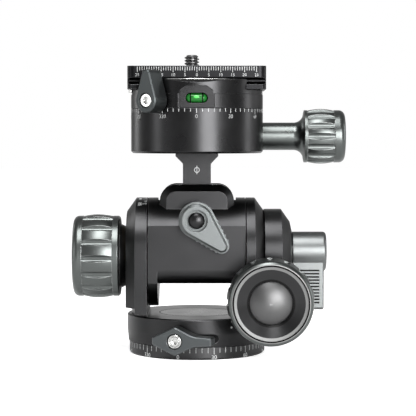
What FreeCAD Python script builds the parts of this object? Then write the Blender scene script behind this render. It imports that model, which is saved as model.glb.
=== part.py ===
"""Geared tripod head: a panning base, a geared tilt, a geared roll and a geared pan
that carries a quick-release clamp.

Frame: millimetres, origin at the centre of the base's underside, +Z up, +X to the
right and -Y to the front, where the tilt knob and the level are.
"""
import FreeCAD, Part
import math
import os
import re
import Sketcher
from FreeCAD import Placement, Rotation, Vector

# ---------------------------------------------------------------------------
# Driving dimensions, in millimetres, degrees and counts.
# ---------------------------------------------------------------------------
SIZES = (
    # Clearances shared by the whole head.
    ("turn_gap", 0.3),
    ("shaft_gap", 0.05),
    ("edge_bevel", 0.8),
    ("cut_margin", 1.0),
    # Base disc, its hub and what the hub carries.
    ("base_radius", 29.2),
    ("base_height", 5.2),
    ("hub_radius", 12.0),
    ("hub_top", 12.2),
    ("insert_radius", 6.5),
    ("insert_length", 10.0),
    ("tripod_thread_radius", 3.97),
    ("collar_radius", 14.5),
    ("collar_height", 2.2),
    ("collar_screw_circle", 9.3),
    ("collar_screw_count", 3),
    ("collar_screw_length", 5.0),
    # Platform of the yoke.
    ("platform_radius", 30.1),
    ("platform_top", 17.05),
    ("platform_taper", 0.5),
    ("platform_taper_height", 5.0),
    ("platform_bevel", 0.5),
    ("cap_radius", 16.2),
    ("cap_height", 1.7),
    ("ring_inner_radius", 20.0),
    ("ring_outer_radius", 24.0),
    ("ring_depth", 1.0),
    # Ears of the yoke.
    ("tilt_height", 43.4),
    ("ear_radius", 23.4),
    ("left_ear_thickness", 9.1),
    ("right_ear_thickness", 7.9),
    ("ear_bevel_width", 4.1),
    ("ear_bevel_drop", 5.7),
    ("ear_bottom", 18.3),
    ("ear_strip_bottom", 20.8),
    ("foot_radius", 28.2),
    # Lock lever of the base.
    ("lock_azimuth", -13.4),
    ("lock_height", 8.9),
    ("lock_bore_radius", 2.2),
    ("lock_pad_length", 4.0),
    ("lock_stud_radius", 1.6),
    ("lock_screw_radius", 2.9),
    ("lock_screw_margin", 0.45),
    ("lock_screw_height", 2.0),
    ("lock_screw_proud", 0.1),
    ("lock_neck_radius", 4.4),
    ("lock_neck_length", 2.0),
    ("lock_wing_thickness", 7.0),
    ("lock_wing_bevel", 0.45),
    ("lock_hub_half", 6.0),
    ("lock_hub_round", 2.6),
    ("lock_left_reach", 9.6),
    ("lock_left_tip_half", 1.5),
    ("lock_left_tip_round", 1.2),
    ("lock_waist_reach", 7.8),
    ("lock_waist_half", 2.15),
    ("lock_waist_round", 8.0),
    ("lock_right_reach", 15.5),
    ("lock_end_half", 1.65),
    ("lock_end_round", 0.7),
    ("lock_slot_half", 2.0),
    ("lock_slot_reach", 15.6),
    ("lock_slot_floor", 24.0),
    # Trunnions and bushes of the tilt axis.
    ("left_trunnion_wall", 5.45),
    ("right_trunnion_radius", 9.0),
    ("trunnion_seat", 6.0),
    ("bush_wall", 1.5),
    ("cone_small_radius", 12.7),
    ("cone_large_radius", 14.0),
    ("cone_length", 2.6),
    # Tilt gear.
    ("gear_pressure_angle", 20.0),
    ("gear_backlash", 0.3),
    ("tilt_teeth", 30),
    ("tilt_module", 0.9),
    ("tilt_worm_radius", 4.4),
    ("tilt_wheel_width", 6.0),
    ("tilt_wheel_bore", 6.0),
    ("tilt_wheel_inset", 6.3),
    ("wheel_screw_radius", 2.5),
    ("wheel_screw_overhang", 2.5),
    ("wheel_screw_head_height", 1.6),
    ("worm_thread_turns", 4),
    ("worm_shaft_radius", 3.0),
    ("worm_bush_wall", 1.6),
    ("worm_bush_length", 5.0),
    ("barrel_wall", 1.7),
    ("barrel_front", 29.0),
    ("barrel_back", 19.5),
    # Gear housing on the right ear.
    ("gear_housing_radius", 18.5),
    ("gear_housing_rim", 7.3),
    ("gear_housing_cone_radius", 13.1),
    ("gear_housing_cone_length", 3.8),
    ("gear_housing_dome_radius", 8.7),
    ("gear_housing_dome_length", 1.0),
    ("gear_cavity_radius", 15.0),
    ("gear_cavity_depth", 7.0),
    ("housing_screw_circle", 16.7),
    ("housing_screw_length", 8.5),
    ("housing_screw_count", 3),
    ("housing_screw_sink", 1.6),
    # Tilt clutch lever.
    ("tilt_clutch_hub_radius", 8.6),
    ("tilt_clutch_length", 14.4),
    ("tilt_clutch_round", 1.4),
    ("tilt_clutch_shaft_radius", 4.0),
    ("tilt_clutch_shaft_flange", 6.2),
    ("tilt_clutch_shaft_seat", 1.4),
    ("tilt_clutch_cap_radius", 5.2),
    ("tilt_clutch_cap_height", 1.2),
    ("tilt_clutch_cap_sink", 0.1),
    ("tilt_paddle_width", 13.2),
    ("tilt_paddle_reach", 24.6),
    ("tilt_paddle_front", 7.4),
    ("tilt_paddle_tip_thickness", 4.6),
    ("tilt_paddle_tip_bevel", 1.0),
    ("tilt_paddle_shoulder", 3.0),
    ("tilt_paddle_rear_angle", 37.0),
    ("tilt_rib_count", 11),
    ("tilt_rib_pitch", 1.38),
    ("tilt_rib_depth", 0.5),
    ("tilt_rib_border", 2.0),
    # Large knobs of the tilt and the roll.
    ("knob_length", 20.0),
    ("knob_rim_radius", 17.4),
    ("knob_crown_rise", 0.9),
    ("knob_inner_rim", 2.9),
    ("knob_flute_length", 13.0),
    ("knob_flute_count", 16),
    ("knob_flute_radius", 1.5),
    ("knob_flute_floor", 16.8),
    ("knob_face_round", 2.4),
    ("knob_ring_outer", 15.6),
    ("knob_ring_inner", 13.7),
    ("knob_dish_radius", 8.9),
    ("knob_dish_depth", 3.4),
    ("knob_cap_rise", 2.6),
    ("knob_cap_seat", 2.0),
    ("knob_cap_sink", 0.4),
    ("knob_edge_bevel", 0.6),
    ("knob_ring_sink", 0.3),
    ("knob_groove_depth", 0.9),
    ("knob_groove_width", 0.5),
    ("knob_hub_recess", 1.6),
    ("knob_band_step", 0.25),
    ("knob_shaft_reach", 12.0),
    ("knob_hub_radius", 14.4),
    ("tilt_knob_gap", 0.4),
    ("roll_knob_gap", 0.1),
    # Tilt housing.
    ("barrel_radius", 23.4),
    ("barrel_half", 20.7),
    ("flat_half", 20.0),
    ("underside_drop", 12.65),
    ("underside_round", 6.0),
    ("underside_half", 16.6),
    ("hood_half", 15.8),
    ("hood_depth", 13.8),
    ("hood_flat_half", 8.5),
    ("hood_shoulder", 22.4),
    ("hood_top", 29.3),
    ("hood_bevel", 2.9),
    ("slot_half", 8.0),
    ("slot_floor", 19.4),
    # Roll axis, its gear and the arm.
    ("roll_height", 58.1),
    ("roll_teeth", 30),
    ("roll_sector_teeth", 9),
    ("roll_module", 0.84),
    ("roll_worm_radius", 4.0),
    ("roll_sector_width", 7.0),
    ("roll_bush_wall", 1.2),
    ("roll_clutch_pin_drop", 1.0),
    ("arm_hub_radius", 8.0),
    ("arm_half", 6.0),
    ("arm_depth", 15.0),
    ("arm_flare_half", 9.15),
    ("arm_flare_height", 3.2),
    ("arm_flare_drop", 1.3),
    ("roll_pin_radius", 4.0),
    ("roll_boss_radius", 7.4),
    # Roll clutch lever.
    ("roll_clutch_azimuth", -46.0),
    ("roll_clutch_hub_radius", 7.6),
    ("roll_clutch_well_radius", 4.6),
    ("roll_clutch_well_depth", 3.0),
    ("roll_clutch_cap_radius", 3.4),
    ("roll_clutch_cap_rise", 1.2),
    ("roll_clutch_reach", 18.3),
    ("roll_clutch_tip_radius", 3.2),
    ("roll_clutch_rear", 3.4),
    ("roll_clutch_front", 5.4),
    ("roll_clutch_border", 0.8),
    ("roll_tooth_count", 5),
    ("roll_tooth_pitch", 2.2),
    ("roll_tooth_radius", 0.6),
    # Pan unit.
    ("pan_radius", 28.4),
    ("pan_height", 18.8),
    ("pan_floor_radius", 21.0),
    ("pan_well_clearance", 0.6),
    ("pan_well_half", 9.0),
    ("pan_worm_tail", 14.0),
    ("pan_floor_height", 2.4),
    ("pan_teeth", 40),
    ("pan_module", 0.8),
    ("pan_worm_radius", 4.0),
    ("pan_wheel_width", 6.0),
    ("pan_spindle_radius", 8.0),
    ("pan_drive_drop", 11.6),
    ("pan_retainer_radius", 11.0),
    ("pan_retainer_height", 1.2),
    ("pan_screw_circle", 5.0),
    ("pan_screw_length", 6.0),
    # Pan knob.
    ("pan_shank_radius", 6.1),
    ("pan_shank_start", 15.5),
    ("pan_head_start", 47.0),
    ("pan_head_end", 65.3),
    ("pan_head_radius", 11.6),
    ("pan_head_bevel", 1.2),
    ("pan_head_edge", 0.3),
    ("pan_crown_rise", 0.85),
    ("pan_flute_floor", 11.0),
    ("pan_flute_start", 48.6),
    ("pan_flute_length", 12.0),
    ("pan_face_round", 2.6),
    # Clamp.
    ("clamp_upper_radius", 28.1),
    ("clamp_lower_height", 6.2),
    ("clamp_upper_height", 1.8),
    ("jaw_height", 4.4),
    ("jaw_seat_gap", 0.2),
    ("jaw_half_length", 21.0),
    ("jaw_travel", 1.5),
    ("jaw_bevel", 1.6),
    ("jaw_mouth_inset", 0.6),
    ("rear_jaw_split", 21.2),
    ("rear_jaw_depth", 5.2),
    ("guide_pin_radius", 1.5),
    ("guide_pin_spread", 9.0),
    ("guide_pin_drop", 2.5),
    ("guide_pin_depth", 9.0),
    ("level_flat_half", 7.6),
    ("level_flat_depth", 27.2),
    ("level_flat_rise", 1.4),
    ("level_shoulder_drop", 0.8),
    ("level_arch_half", 4.2),
    ("level_drop", 3.7),
    ("level_half", 4.7),
    ("level_radius", 2.15),
    ("level_depth", 3.4),
    # Clamp lever.
    ("clamp_azimuth", -35.0),
    ("clamp_lever_drop", 4.8),
    ("clamp_lever_hub", 5.1),
    ("clamp_lever_reach", 12.8),
    ("clamp_lever_tip_radius", 2.1),
    ("clamp_lever_thickness", 8.2),
    ("clamp_lever_bevel", 0.5),
    ("clamp_shaft_radius", 2.5),
    ("clamp_shaft_depth", 16.0),
    ("clamp_screw_radius", 3.2),
    ("clamp_screw_height", 2.4),
    ("clamp_screw_sink", 0.6),
    # Quick-release plate and camera screw.
    ("plate_half_length", 29.25),
    ("plate_half_width", 19.0),
    ("plate_top", 122.8),
    ("plate_height", 10.0),
    ("plate_flange", 4.9),
    ("plate_neck_half", 16.6),
    ("plate_lip_half", 18.6),
    ("plate_lip_height", 2.2),
    ("dovetail_drop", 0.3),
    ("dovetail_slope", 1.3),
    ("dovetail_neck", 0.6),
    ("plate_flange_inset", 0.4),
    ("plate_corner", 3.0),
    ("plate_gap", 0.2),
    ("plate_stop_depth", 3.0),
    ("camera_head_seat", 4.2),
    ("plate_slot_half", 13.0),
    ("plate_stop_reach", 27.9),
    ("plate_stop_spread", 14.5),
    ("plate_stop_radius", 0.9),
    ("plate_stop_drop", 1.5),
    ("camera_screw_offset", -2.2),
    ("camera_thread_radius", 3.175),
    ("camera_thread_height", 5.3),
    ("camera_thread_bevel", 0.5),
    ("camera_thread_start", 0.2),
    ("camera_neck_radius", 2.5),
    ("camera_head_radius", 6.6),
    ("camera_head_height", 2.4),
    # Small fasteners.
    ("screw_radius", 1.25),
    ("screw_head_radius", 2.2),
    ("screw_head_height", 1.3),
)
NAMES = {name for name, _ in SIZES}

# Lengths that follow from the sizes, spelled out wherever an expression names them.
DERIVED = {
    # The ears and what sits in them, outward from the tilt body.
    "ear_inner": "barrel_half + turn_gap",
    "left_ear_outer": "ear_inner + left_ear_thickness",
    "right_ear_outer": "ear_inner + right_ear_thickness",
    "tilt_wheel_start": "ear_inner + tilt_wheel_inset",
    "tilt_knob_start": "barrel_front + tilt_knob_gap",
    "roll_knob_start": "left_ear_outer + turn_gap + cone_length + roll_knob_gap",
    "left_trunnion_radius": "abs(roll_worm_drop) + worm_bush_radius + left_trunnion_wall",
    # The roll worm's well between its bushes, and how far the worm lies below the tilt axis.
    "roll_well_half": "barrel_half - trunnion_seat - roll_bush_wall - worm_bush_length",
    "roll_worm_drop": "tilt_height - roll_height + roll_teeth * roll_module / 2 + roll_worm_radius",
    "worm_bush_radius": "worm_shaft_radius + shaft_gap + worm_bush_wall",
    # Heights of the clamp and the pan unit, downward from the plate's top.
    "clamp_floor": "plate_top - plate_height",
    "jaw_top": "clamp_floor + jaw_height",
    "clamp_step": "clamp_floor - clamp_upper_height",
    "rear_jaw_bottom": "clamp_floor - rear_jaw_depth",
    "guide_pin_height": "clamp_floor - guide_pin_drop",
    "clamp_lever_height": "clamp_floor - clamp_lever_drop",
    "level_flat_top": "clamp_floor + level_flat_rise",
    "level_shoulder": "clamp_floor - level_shoulder_drop",
    "level_height": "clamp_floor - level_drop",
    "pan_top": "clamp_step - clamp_lower_height",
    "pan_drive_height": "pan_top - pan_drive_drop",
    "pan_bottom": "pan_top - pan_height",
    "arm_flare_end": "pan_bottom - arm_flare_drop",
    "arm_flare_start": "arm_flare_end - arm_flare_height",
}

doc = FreeCAD.newDocument("GearedTripodHead")
sheet = doc.addObject("Spreadsheet::Sheet", "Sizes")
for row, (name, value) in enumerate(SIZES, start=1):
    sheet.set("A%d" % row, name)
    sheet.set("B%d" % row, str(value))
    sheet.setAlias("B%d" % row, name)
doc.recompute()

# Tooth heights as shares of the module, how far a tooth is sunk into its rim, and how much
# longer than its wheel's width a leaning tooth is made before it is trimmed.
TOOTH_TIP = 0.8
TOOTH_ROOT = 1.2
SEAM = 0.05
TOOTH_SPARE = 1.2
# How closely an edge must lie in a plane to count as in it.
NEAR = 1e-4

PARTS = []
UPRIGHT = Rotation()
FRONT = Rotation(Vector(1, 0, 0), 90)
BACK = Rotation(Vector(1, 0, 0), -90)
RIGHT = Rotation(Vector(0, 1, 0), 90)
LEFT = Rotation(Vector(0, 1, 0), -90)

# Expressions that several pieces share.
PLATFORM_BOTTOM = "base_height + turn_gap"
COLLAR_SEAT = "hub_top"
CAP_SEAT = "platform_top - cap_height"
COLLAR_WELL = "collar_radius + turn_gap"
TILT_CENTRES = "tilt_teeth * tilt_module / 2 + tilt_worm_radius"
TILT_WORM_HEIGHT = "tilt_height - (%s)" % TILT_CENTRES
TILT_WORM_REACH = "tilt_wheel_start + tilt_wheel_width / 2"
TILT_WORM_WELL = "tilt_worm_radius + tilt_module + turn_gap"
TILT_BARREL = "%s + barrel_wall" % TILT_WORM_WELL
ROLL_WORM_HEIGHT = "tilt_height - roll_worm_drop"
ROLL_WORM_WELL = "roll_worm_radius + roll_module + turn_gap"
ROLL_POCKET = "roll_teeth * roll_module / 2 + roll_module + turn_gap"
ROLL_RISE = "roll_height - tilt_height"
PAN_CENTRES = "pan_teeth * pan_module / 2 + pan_worm_radius"
PAN_WORM_WELL = "pan_worm_radius + pan_module + turn_gap"
PAN_CAVITY = "pan_teeth * pan_module / 2 + pan_module + turn_gap"
GEAR_HOUSING_LENGTH = "gear_housing_rim + gear_housing_cone_length + gear_housing_dome_length"
TILT_CLUTCH_START = "right_ear_outer + %s + turn_gap" % GEAR_HOUSING_LENGTH
PAN_WHEEL_BOTTOM = "pan_drive_height - pan_wheel_width / 2"
PAN_WELL_TOP = "pan_drive_height + pan_wheel_width / 2 + pan_well_clearance"
STOP_CORNERS = ((1, 1), (-1, -1))
WORM_BORE = "worm_shaft_radius + shaft_gap"


# ---------------------------------------------------------------------------
# Helpers: expressions, sketches and features.
# ---------------------------------------------------------------------------
def bound(text):
    """Point each size that an expression names at the spreadsheet, and spell out each derived length."""
    def swap(match):
        word = match.group()
        if word in DERIVED:
            return "(%s)" % bound(DERIVED[word])
        return "Sizes." + word if word in NAMES else word
    return re.sub(r"[a-z_]+", swap, text)


def number(text):
    """Work an expression out as a plain number."""
    return float(sheet.evalExpression(bound(text)))


def minus(text):
    """Negate an expression."""
    return "-(%s)" % text


def plus(*terms):
    """Add expressions."""
    return " + ".join("(%s)" % term for term in terms)


def dome_curve(half_chord, rise):
    """Radius of the arc that rises by an amount over twice a half chord."""
    return "((%s) ^ 2 + (%s) ^ 2) / (2 * (%s))" % (half_chord, rise, rise)


class Disc:
    """A full circle in a sketch."""

    def __init__(self, x, y, radius):
        self.x = x
        self.y = y
        self.radius = radius


class Arc:
    """A corner of an outline that an arc leads to; left turns run counter-clockwise."""

    def __init__(self, x, y, centre_x, centre_y, left=True):
        self.corner = (x, y)
        self.centre = (centre_x, centre_y)
        self.left = left


def box(x_low, y_low, x_high, y_high):
    """Corners of a rectangle."""
    return [(x_low, y_low), (x_high, y_low), (x_high, y_high), (x_low, y_high)]


def fix_point(sketch, geometry, point, x, y):
    """Hold one point of a sketch at two expressions from the origin."""
    for kind, text in (("DistanceX", x), ("DistanceY", y)):
        index = sketch.addConstraint(Sketcher.Constraint(kind, -1, 1, geometry, point, number(text)))
        sketch.setExpression("Constraints[%d]" % index, bound(text))


def draw_disc(sketch, disc):
    """Add a dimensioned circle."""
    centre = Vector(number(disc.x), number(disc.y), 0)
    index = sketch.addGeometry(Part.Circle(centre, Vector(0, 0, 1), number(disc.radius)))
    fix_point(sketch, index, 3, disc.x, disc.y)
    radius = sketch.addConstraint(Sketcher.Constraint("Radius", index, number(disc.radius)))
    sketch.setExpression("Constraints[%d]" % radius, bound(disc.radius))


def arc_curve(start, end, corner):
    """The counter-clockwise arc between two corners about the centre that the corner names."""
    centre = Vector(number(corner.centre[0]), number(corner.centre[1]), 0)
    first, last = (start, end) if corner.left else (end, start)
    first_angle = math.atan2(first.y - centre.y, first.x - centre.x)
    last_angle = math.atan2(last.y - centre.y, last.x - centre.x)
    if last_angle <= first_angle:
        last_angle += 2 * math.pi
    circle = Part.Circle(centre, Vector(0, 0, 1), first.distanceToPoint(centre))
    return Part.ArcOfCircle(circle, first_angle, last_angle)


def draw_outline(sketch, corners):
    """Add a closed outline of lines and arcs with every corner dimensioned."""
    texts = [corner.corner if isinstance(corner, Arc) else corner for corner in corners]
    points = [Vector(number(x), number(y), 0) for x, y in texts]
    ends = []
    for place, corner in enumerate(corners):
        start = points[place - 1]
        end = points[place]
        if isinstance(corner, Arc):
            index = sketch.addGeometry(arc_curve(start, end, corner))
            ends.append((index, 1, 2) if corner.left else (index, 2, 1))
        else:
            index = sketch.addGeometry(Part.LineSegment(start, end))
            ends.append((index, 1, 2))
    for place, (index, first, last) in enumerate(ends):
        before, _, before_last = ends[place - 1]
        sketch.addConstraint(Sketcher.Constraint("Coincident", before, before_last, index, first))
        fix_point(sketch, index, last, *texts[place])
        if isinstance(corners[place], Arc):
            fix_centre(sketch, index, corners[place], points[place] - points[place - 1])


def fix_centre(sketch, index, corner, chord):
    """Hold an arc's centre along the line that its two ends leave free."""
    if abs(chord.x) >= abs(chord.y):
        kind, text = "DistanceY", corner.centre[1]
    else:
        kind, text = "DistanceX", corner.centre[0]
    constraint = sketch.addConstraint(Sketcher.Constraint(kind, -1, 1, index, 3, number(text)))
    sketch.setExpression("Constraints[%d]" % constraint, bound(text))


def new_body(label):
    """Start a sub-part."""
    body = doc.addObject("PartDesign::Body", label)
    body.Label = label
    PARTS.append(body)
    return body


def origin_feature(body, role):
    """One of a body's own origin planes or axes."""
    return [feature for feature in body.Origin.OriginFeatures if feature.Role == role][0]


def sketch_on(body, plane, shapes):
    """Draw shapes on one of the body's origin planes."""
    sketch = body.newObject("Sketcher::SketchObject", "Sketch")
    sketch.AttachmentSupport = [(origin_feature(body, plane), "")]
    sketch.MapMode = "FlatFace"
    for shape in shapes:
        if isinstance(shape, Disc):
            draw_disc(sketch, shape)
        else:
            draw_outline(sketch, shape)
    return sketch


def extrude(body, kind, plane, shapes, start, end):
    """Pad or pocket shapes between two coordinates along the plane's own axis."""
    sketch = sketch_on(body, plane, shapes)
    lift = minus(end) if plane == "XZ_Plane" else start
    sketch.setExpression("AttachmentOffset.Base.z", bound(lift))
    feature = body.newObject("PartDesign::" + kind, kind)
    feature.Profile = sketch
    feature.Reversed = kind == "Pocket"
    feature.setExpression("Length", bound("(%s) - (%s)" % (end, start)))
    doc.recompute()
    return feature


def add(body, plane, shapes, start, end):
    """Add material between two coordinates."""
    return extrude(body, "Pad", plane, shapes, start, end)


def cut(body, plane, shapes, start, end):
    """Remove material between two coordinates, and check that some went."""
    before = body.Shape.Volume
    feature = extrude(body, "Pocket", plane, shapes, start, end)
    if feature.Shape.isNull() or feature.Shape.Volume >= before:
        raise RuntimeError("%s: a pocket between %s and %s cuts nothing" % (body.Label, start, end))
    return feature


def turn(body, corners):
    """Turn a half outline of (radius, height) about the body's Z axis."""
    sketch = sketch_on(body, "XZ_Plane", [corners])
    feature = body.newObject("PartDesign::Revolution", "Revolution")
    feature.Profile = sketch
    feature.ReferenceAxis = (sketch, ["V_Axis"])
    feature.Angle = 360
    doc.recompute()
    return feature


def around(body, feature, count):
    """Repeat a feature about the body's Z axis."""
    pattern = body.newObject("PartDesign::PolarPattern", "PolarPattern")
    pattern.Originals = [feature]
    pattern.Axis = (origin_feature(body, "Z_Axis"), [""])
    pattern.Angle = 360
    pattern.setExpression("Occurrences", bound(count))
    body.Tip = pattern
    doc.recompute()
    return pattern


def along(body, feature, axis, count, step):
    """Repeat a feature in a row along one of the body's axes."""
    pattern = body.newObject("PartDesign::LinearPattern", "LinearPattern")
    pattern.Originals = [feature]
    pattern.Direction = (origin_feature(body, axis), [""])
    pattern.setExpression("Length", bound("(%s) * ((%s) - 1)" % (step, count)))
    pattern.setExpression("Occurrences", bound(count))
    body.Tip = pattern
    doc.recompute()
    return pattern


def bevel(body, chosen, size, other=None):
    """Chamfer the edges of the body that a test picks out."""
    names = ["Edge%d" % (index + 1) for index, edge in enumerate(body.Shape.Edges) if chosen(edge)]
    base = body.Tip
    feature = body.newObject("PartDesign::Chamfer", "Chamfer")
    feature.Base = (base, names)
    feature.setExpression("Size", bound(size))
    if other is not None:
        feature.ChamferType = "Two distances"
        feature.setExpression("Size2", bound(other))
    body.Tip = feature
    doc.recompute()
    return feature


def soften(body, chosen, radius):
    """Round the edges of the body that a test picks out."""
    names = ["Edge%d" % (index + 1) for index, edge in enumerate(body.Shape.Edges) if chosen(edge)]
    base = body.Tip
    feature = body.newObject("PartDesign::Fillet", "Fillet")
    feature.Base = (base, names)
    feature.setExpression("Radius", bound(radius))
    body.Tip = feature
    doc.recompute()
    return feature


def mill(body, azimuth, shape, start, end):
    """Cut a shape radially at an azimuth counted from the front, between two distances from the Z axis."""
    sketch = sketch_on(body, "XZ_Plane", [shape])
    swing = Rotation(Vector(0, 1, 0), number(azimuth))
    sketch.AttachmentOffset = Placement(swing.multVec(Vector(0, 0, number(start))), swing)
    feature = body.newObject("PartDesign::Pocket", "Bore")
    feature.Profile = sketch
    feature.Reversed = True
    feature.setExpression("Length", bound("(%s) - (%s)" % (end, start)))
    doc.recompute()
    return feature


def place(item, x, y, z, rotation=UPRIGHT):
    """Set a sub-part's place with its three coordinates bound to the sheet."""
    item.Placement = Placement(Vector(0, 0, 0), rotation)
    for axis, text in (("x", x), ("y", y), ("z", z)):
        item.setExpression("Placement.Base." + axis, bound(text))
    return item


def spun(rotation, degrees):
    """Spin a piece about its own axis before its frame is laid over."""
    return rotation.multiply(Rotation(Vector(0, 0, 1), degrees))


def swung(azimuth):
    """Turn a radial piece from the front to its azimuth."""
    return Rotation(Vector(0, 0, 1), number(azimuth)).multiply(FRONT)


def ring(inner, outer, low, high):
    """Half outline of a plain ring."""
    return [(inner, low), (outer, low), (outer, high), (inner, high)]


def turned_part(label, corners, x="0", y="0", z="0", rotation=UPRIGHT):
    """A sub-part that is one turned outline."""
    body = new_body(label)
    turn(body, corners)
    place(body, x, y, z, rotation)
    return body


def screw_shape(radius, length, head_radius, head_height):
    """A cap screw: its head's underside at the origin, its shank down -Z."""
    shank = Part.makeCylinder(radius, length, Vector(0, 0, -length))
    head = Part.makeCylinder(head_radius, head_height)
    return shank.fuse(head).removeSplitter()


def group_part(label, shapes, x="0", y="0", z="0", rotation=UPRIGHT):
    """A sub-part of several separate, identical solids."""
    item = doc.addObject("Part::Feature", label)
    item.Label = label
    item.Shape = Part.makeCompound(shapes)
    PARTS.append(item)
    place(item, x, y, z, rotation)
    return item


def screw_group(label, places, length, rotation=UPRIGHT, x="0", y="0", z="0"):
    """Identical small screws at places given in the group's own frame."""
    shapes = []
    for spot in places:
        screw = screw_shape(number("screw_radius"), number(length), number("screw_head_radius"),
                            number("screw_head_height"))
        screw.Placement = Placement(spot, Rotation())
        shapes.append(screw)
    return group_part(label, shapes, x, y, z, rotation)


def circle_of(radius, count, height):
    """Evenly spaced places on a circle about Z, the first on +X."""
    spots = []
    for index in range(count):
        angle = 2 * math.pi * index / count
        spots.append(Vector(radius * math.cos(angle), radius * math.sin(angle), height))
    return spots


# ---------------------------------------------------------------------------
# Base: the fixed disc that the tripod's stud screws into.
# ---------------------------------------------------------------------------
def make_base_disc():
    """Scale disc that stands on the tripod."""
    turned_part("base_disc", [
        ("hub_radius", "0"),
        ("base_radius - edge_bevel", "0"),
        ("base_radius", "edge_bevel"),
        ("base_radius", "base_height"),
        ("hub_radius", "base_height"),
    ])


def make_base_hub():
    """Hub pressed into the disc, which the yoke turns on."""
    body = new_body("base_hub")
    turn(body, ring("insert_radius", "hub_radius", "0", "hub_top"))
    hole = cut(body, "XY_Plane", [Disc("collar_screw_circle", "0", "screw_radius")],
               "hub_top - collar_screw_length", "hub_top")
    around(body, hole, "collar_screw_count")
    place(body, "0", "0", "0")


def make_thread_insert():
    """Hard insert whose bore takes the tripod's stud."""
    turned_part("thread_insert", ring("tripod_thread_radius", "insert_radius", "0", "insert_length"))


def make_spindle_collar():
    """Collar on the hub that keeps the yoke down."""
    body = new_body("spindle_collar")
    turn(body, ring("insert_radius", "collar_radius", "0", "collar_height"))
    hole = cut(body, "XY_Plane", [Disc("collar_screw_circle", "0", "screw_radius")], "0", "collar_height")
    around(body, hole, "collar_screw_count")
    sink = cut(body, "XY_Plane", [Disc("collar_screw_circle", "0", "screw_head_radius")],
               "collar_height - screw_head_height", "collar_height")
    around(body, sink, "collar_screw_count")
    place(body, "0", "0", COLLAR_SEAT)


def make_collar_screws():
    """Screws that hold the collar on the hub."""
    spots = circle_of(number("collar_screw_circle"), int(number("collar_screw_count")), 0.0)
    screw_group("collar_screws", spots, "collar_screw_length + collar_height - screw_head_height",
                z=plus(COLLAR_SEAT, "collar_height - screw_head_height"))


# ---------------------------------------------------------------------------
# Yoke: platform, ears and the barrel of the tilt worm.
# ---------------------------------------------------------------------------
def on_plane(edge, reach, floor):
    """Whether an edge lies in the plane X = reach, apart from what lies at or below a floor."""
    bounds = edge.BoundBox
    flat = abs(bounds.XMin - reach) < NEAR and abs(bounds.XMax - reach) < NEAR
    return flat and bounds.ZMax > floor + NEAR


def add_ear(body, side, outer):
    """One ear: a bevelled arch, and the inner plate that reaches lower than the bevelled strip."""
    near, far = ("%s * ear_inner" % side, "%s * %s" % (side, outer))
    low, high = sorted((near, far), key=number)
    add(body, "YZ_Plane", [[
        ("ear_radius", "ear_strip_bottom"),
        ("ear_radius", "tilt_height"),
        Arc(minus("ear_radius"), "tilt_height", "0", "tilt_height"),
        (minus("ear_radius"), "ear_strip_bottom"),
    ]], low, high)
    reach = number(far)
    floor = number("ear_strip_bottom")
    bevel(body, lambda edge: on_plane(edge, reach, floor), "ear_bevel_width", "ear_bevel_drop")
    plate_end = "%s * (%s - ear_bevel_width)" % (side, outer)
    low, high = sorted((near, plate_end), key=number)
    plate = box(minus("ear_radius"), "ear_bottom", "ear_radius", "ear_strip_bottom")
    add(body, "YZ_Plane", [plate], low, high)


def segment(side):
    """Outline of the foot under one ear: a slice of a disc beyond the ear's inner face."""
    chord = "%s * ear_inner" % side
    half = "sqrt(foot_radius ^ 2 - ear_inner ^ 2)"
    first, last = (minus(half), half) if number(side) > 0 else (half, minus(half))
    return [(chord, first), Arc(chord, last, "0", "0")]


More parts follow.
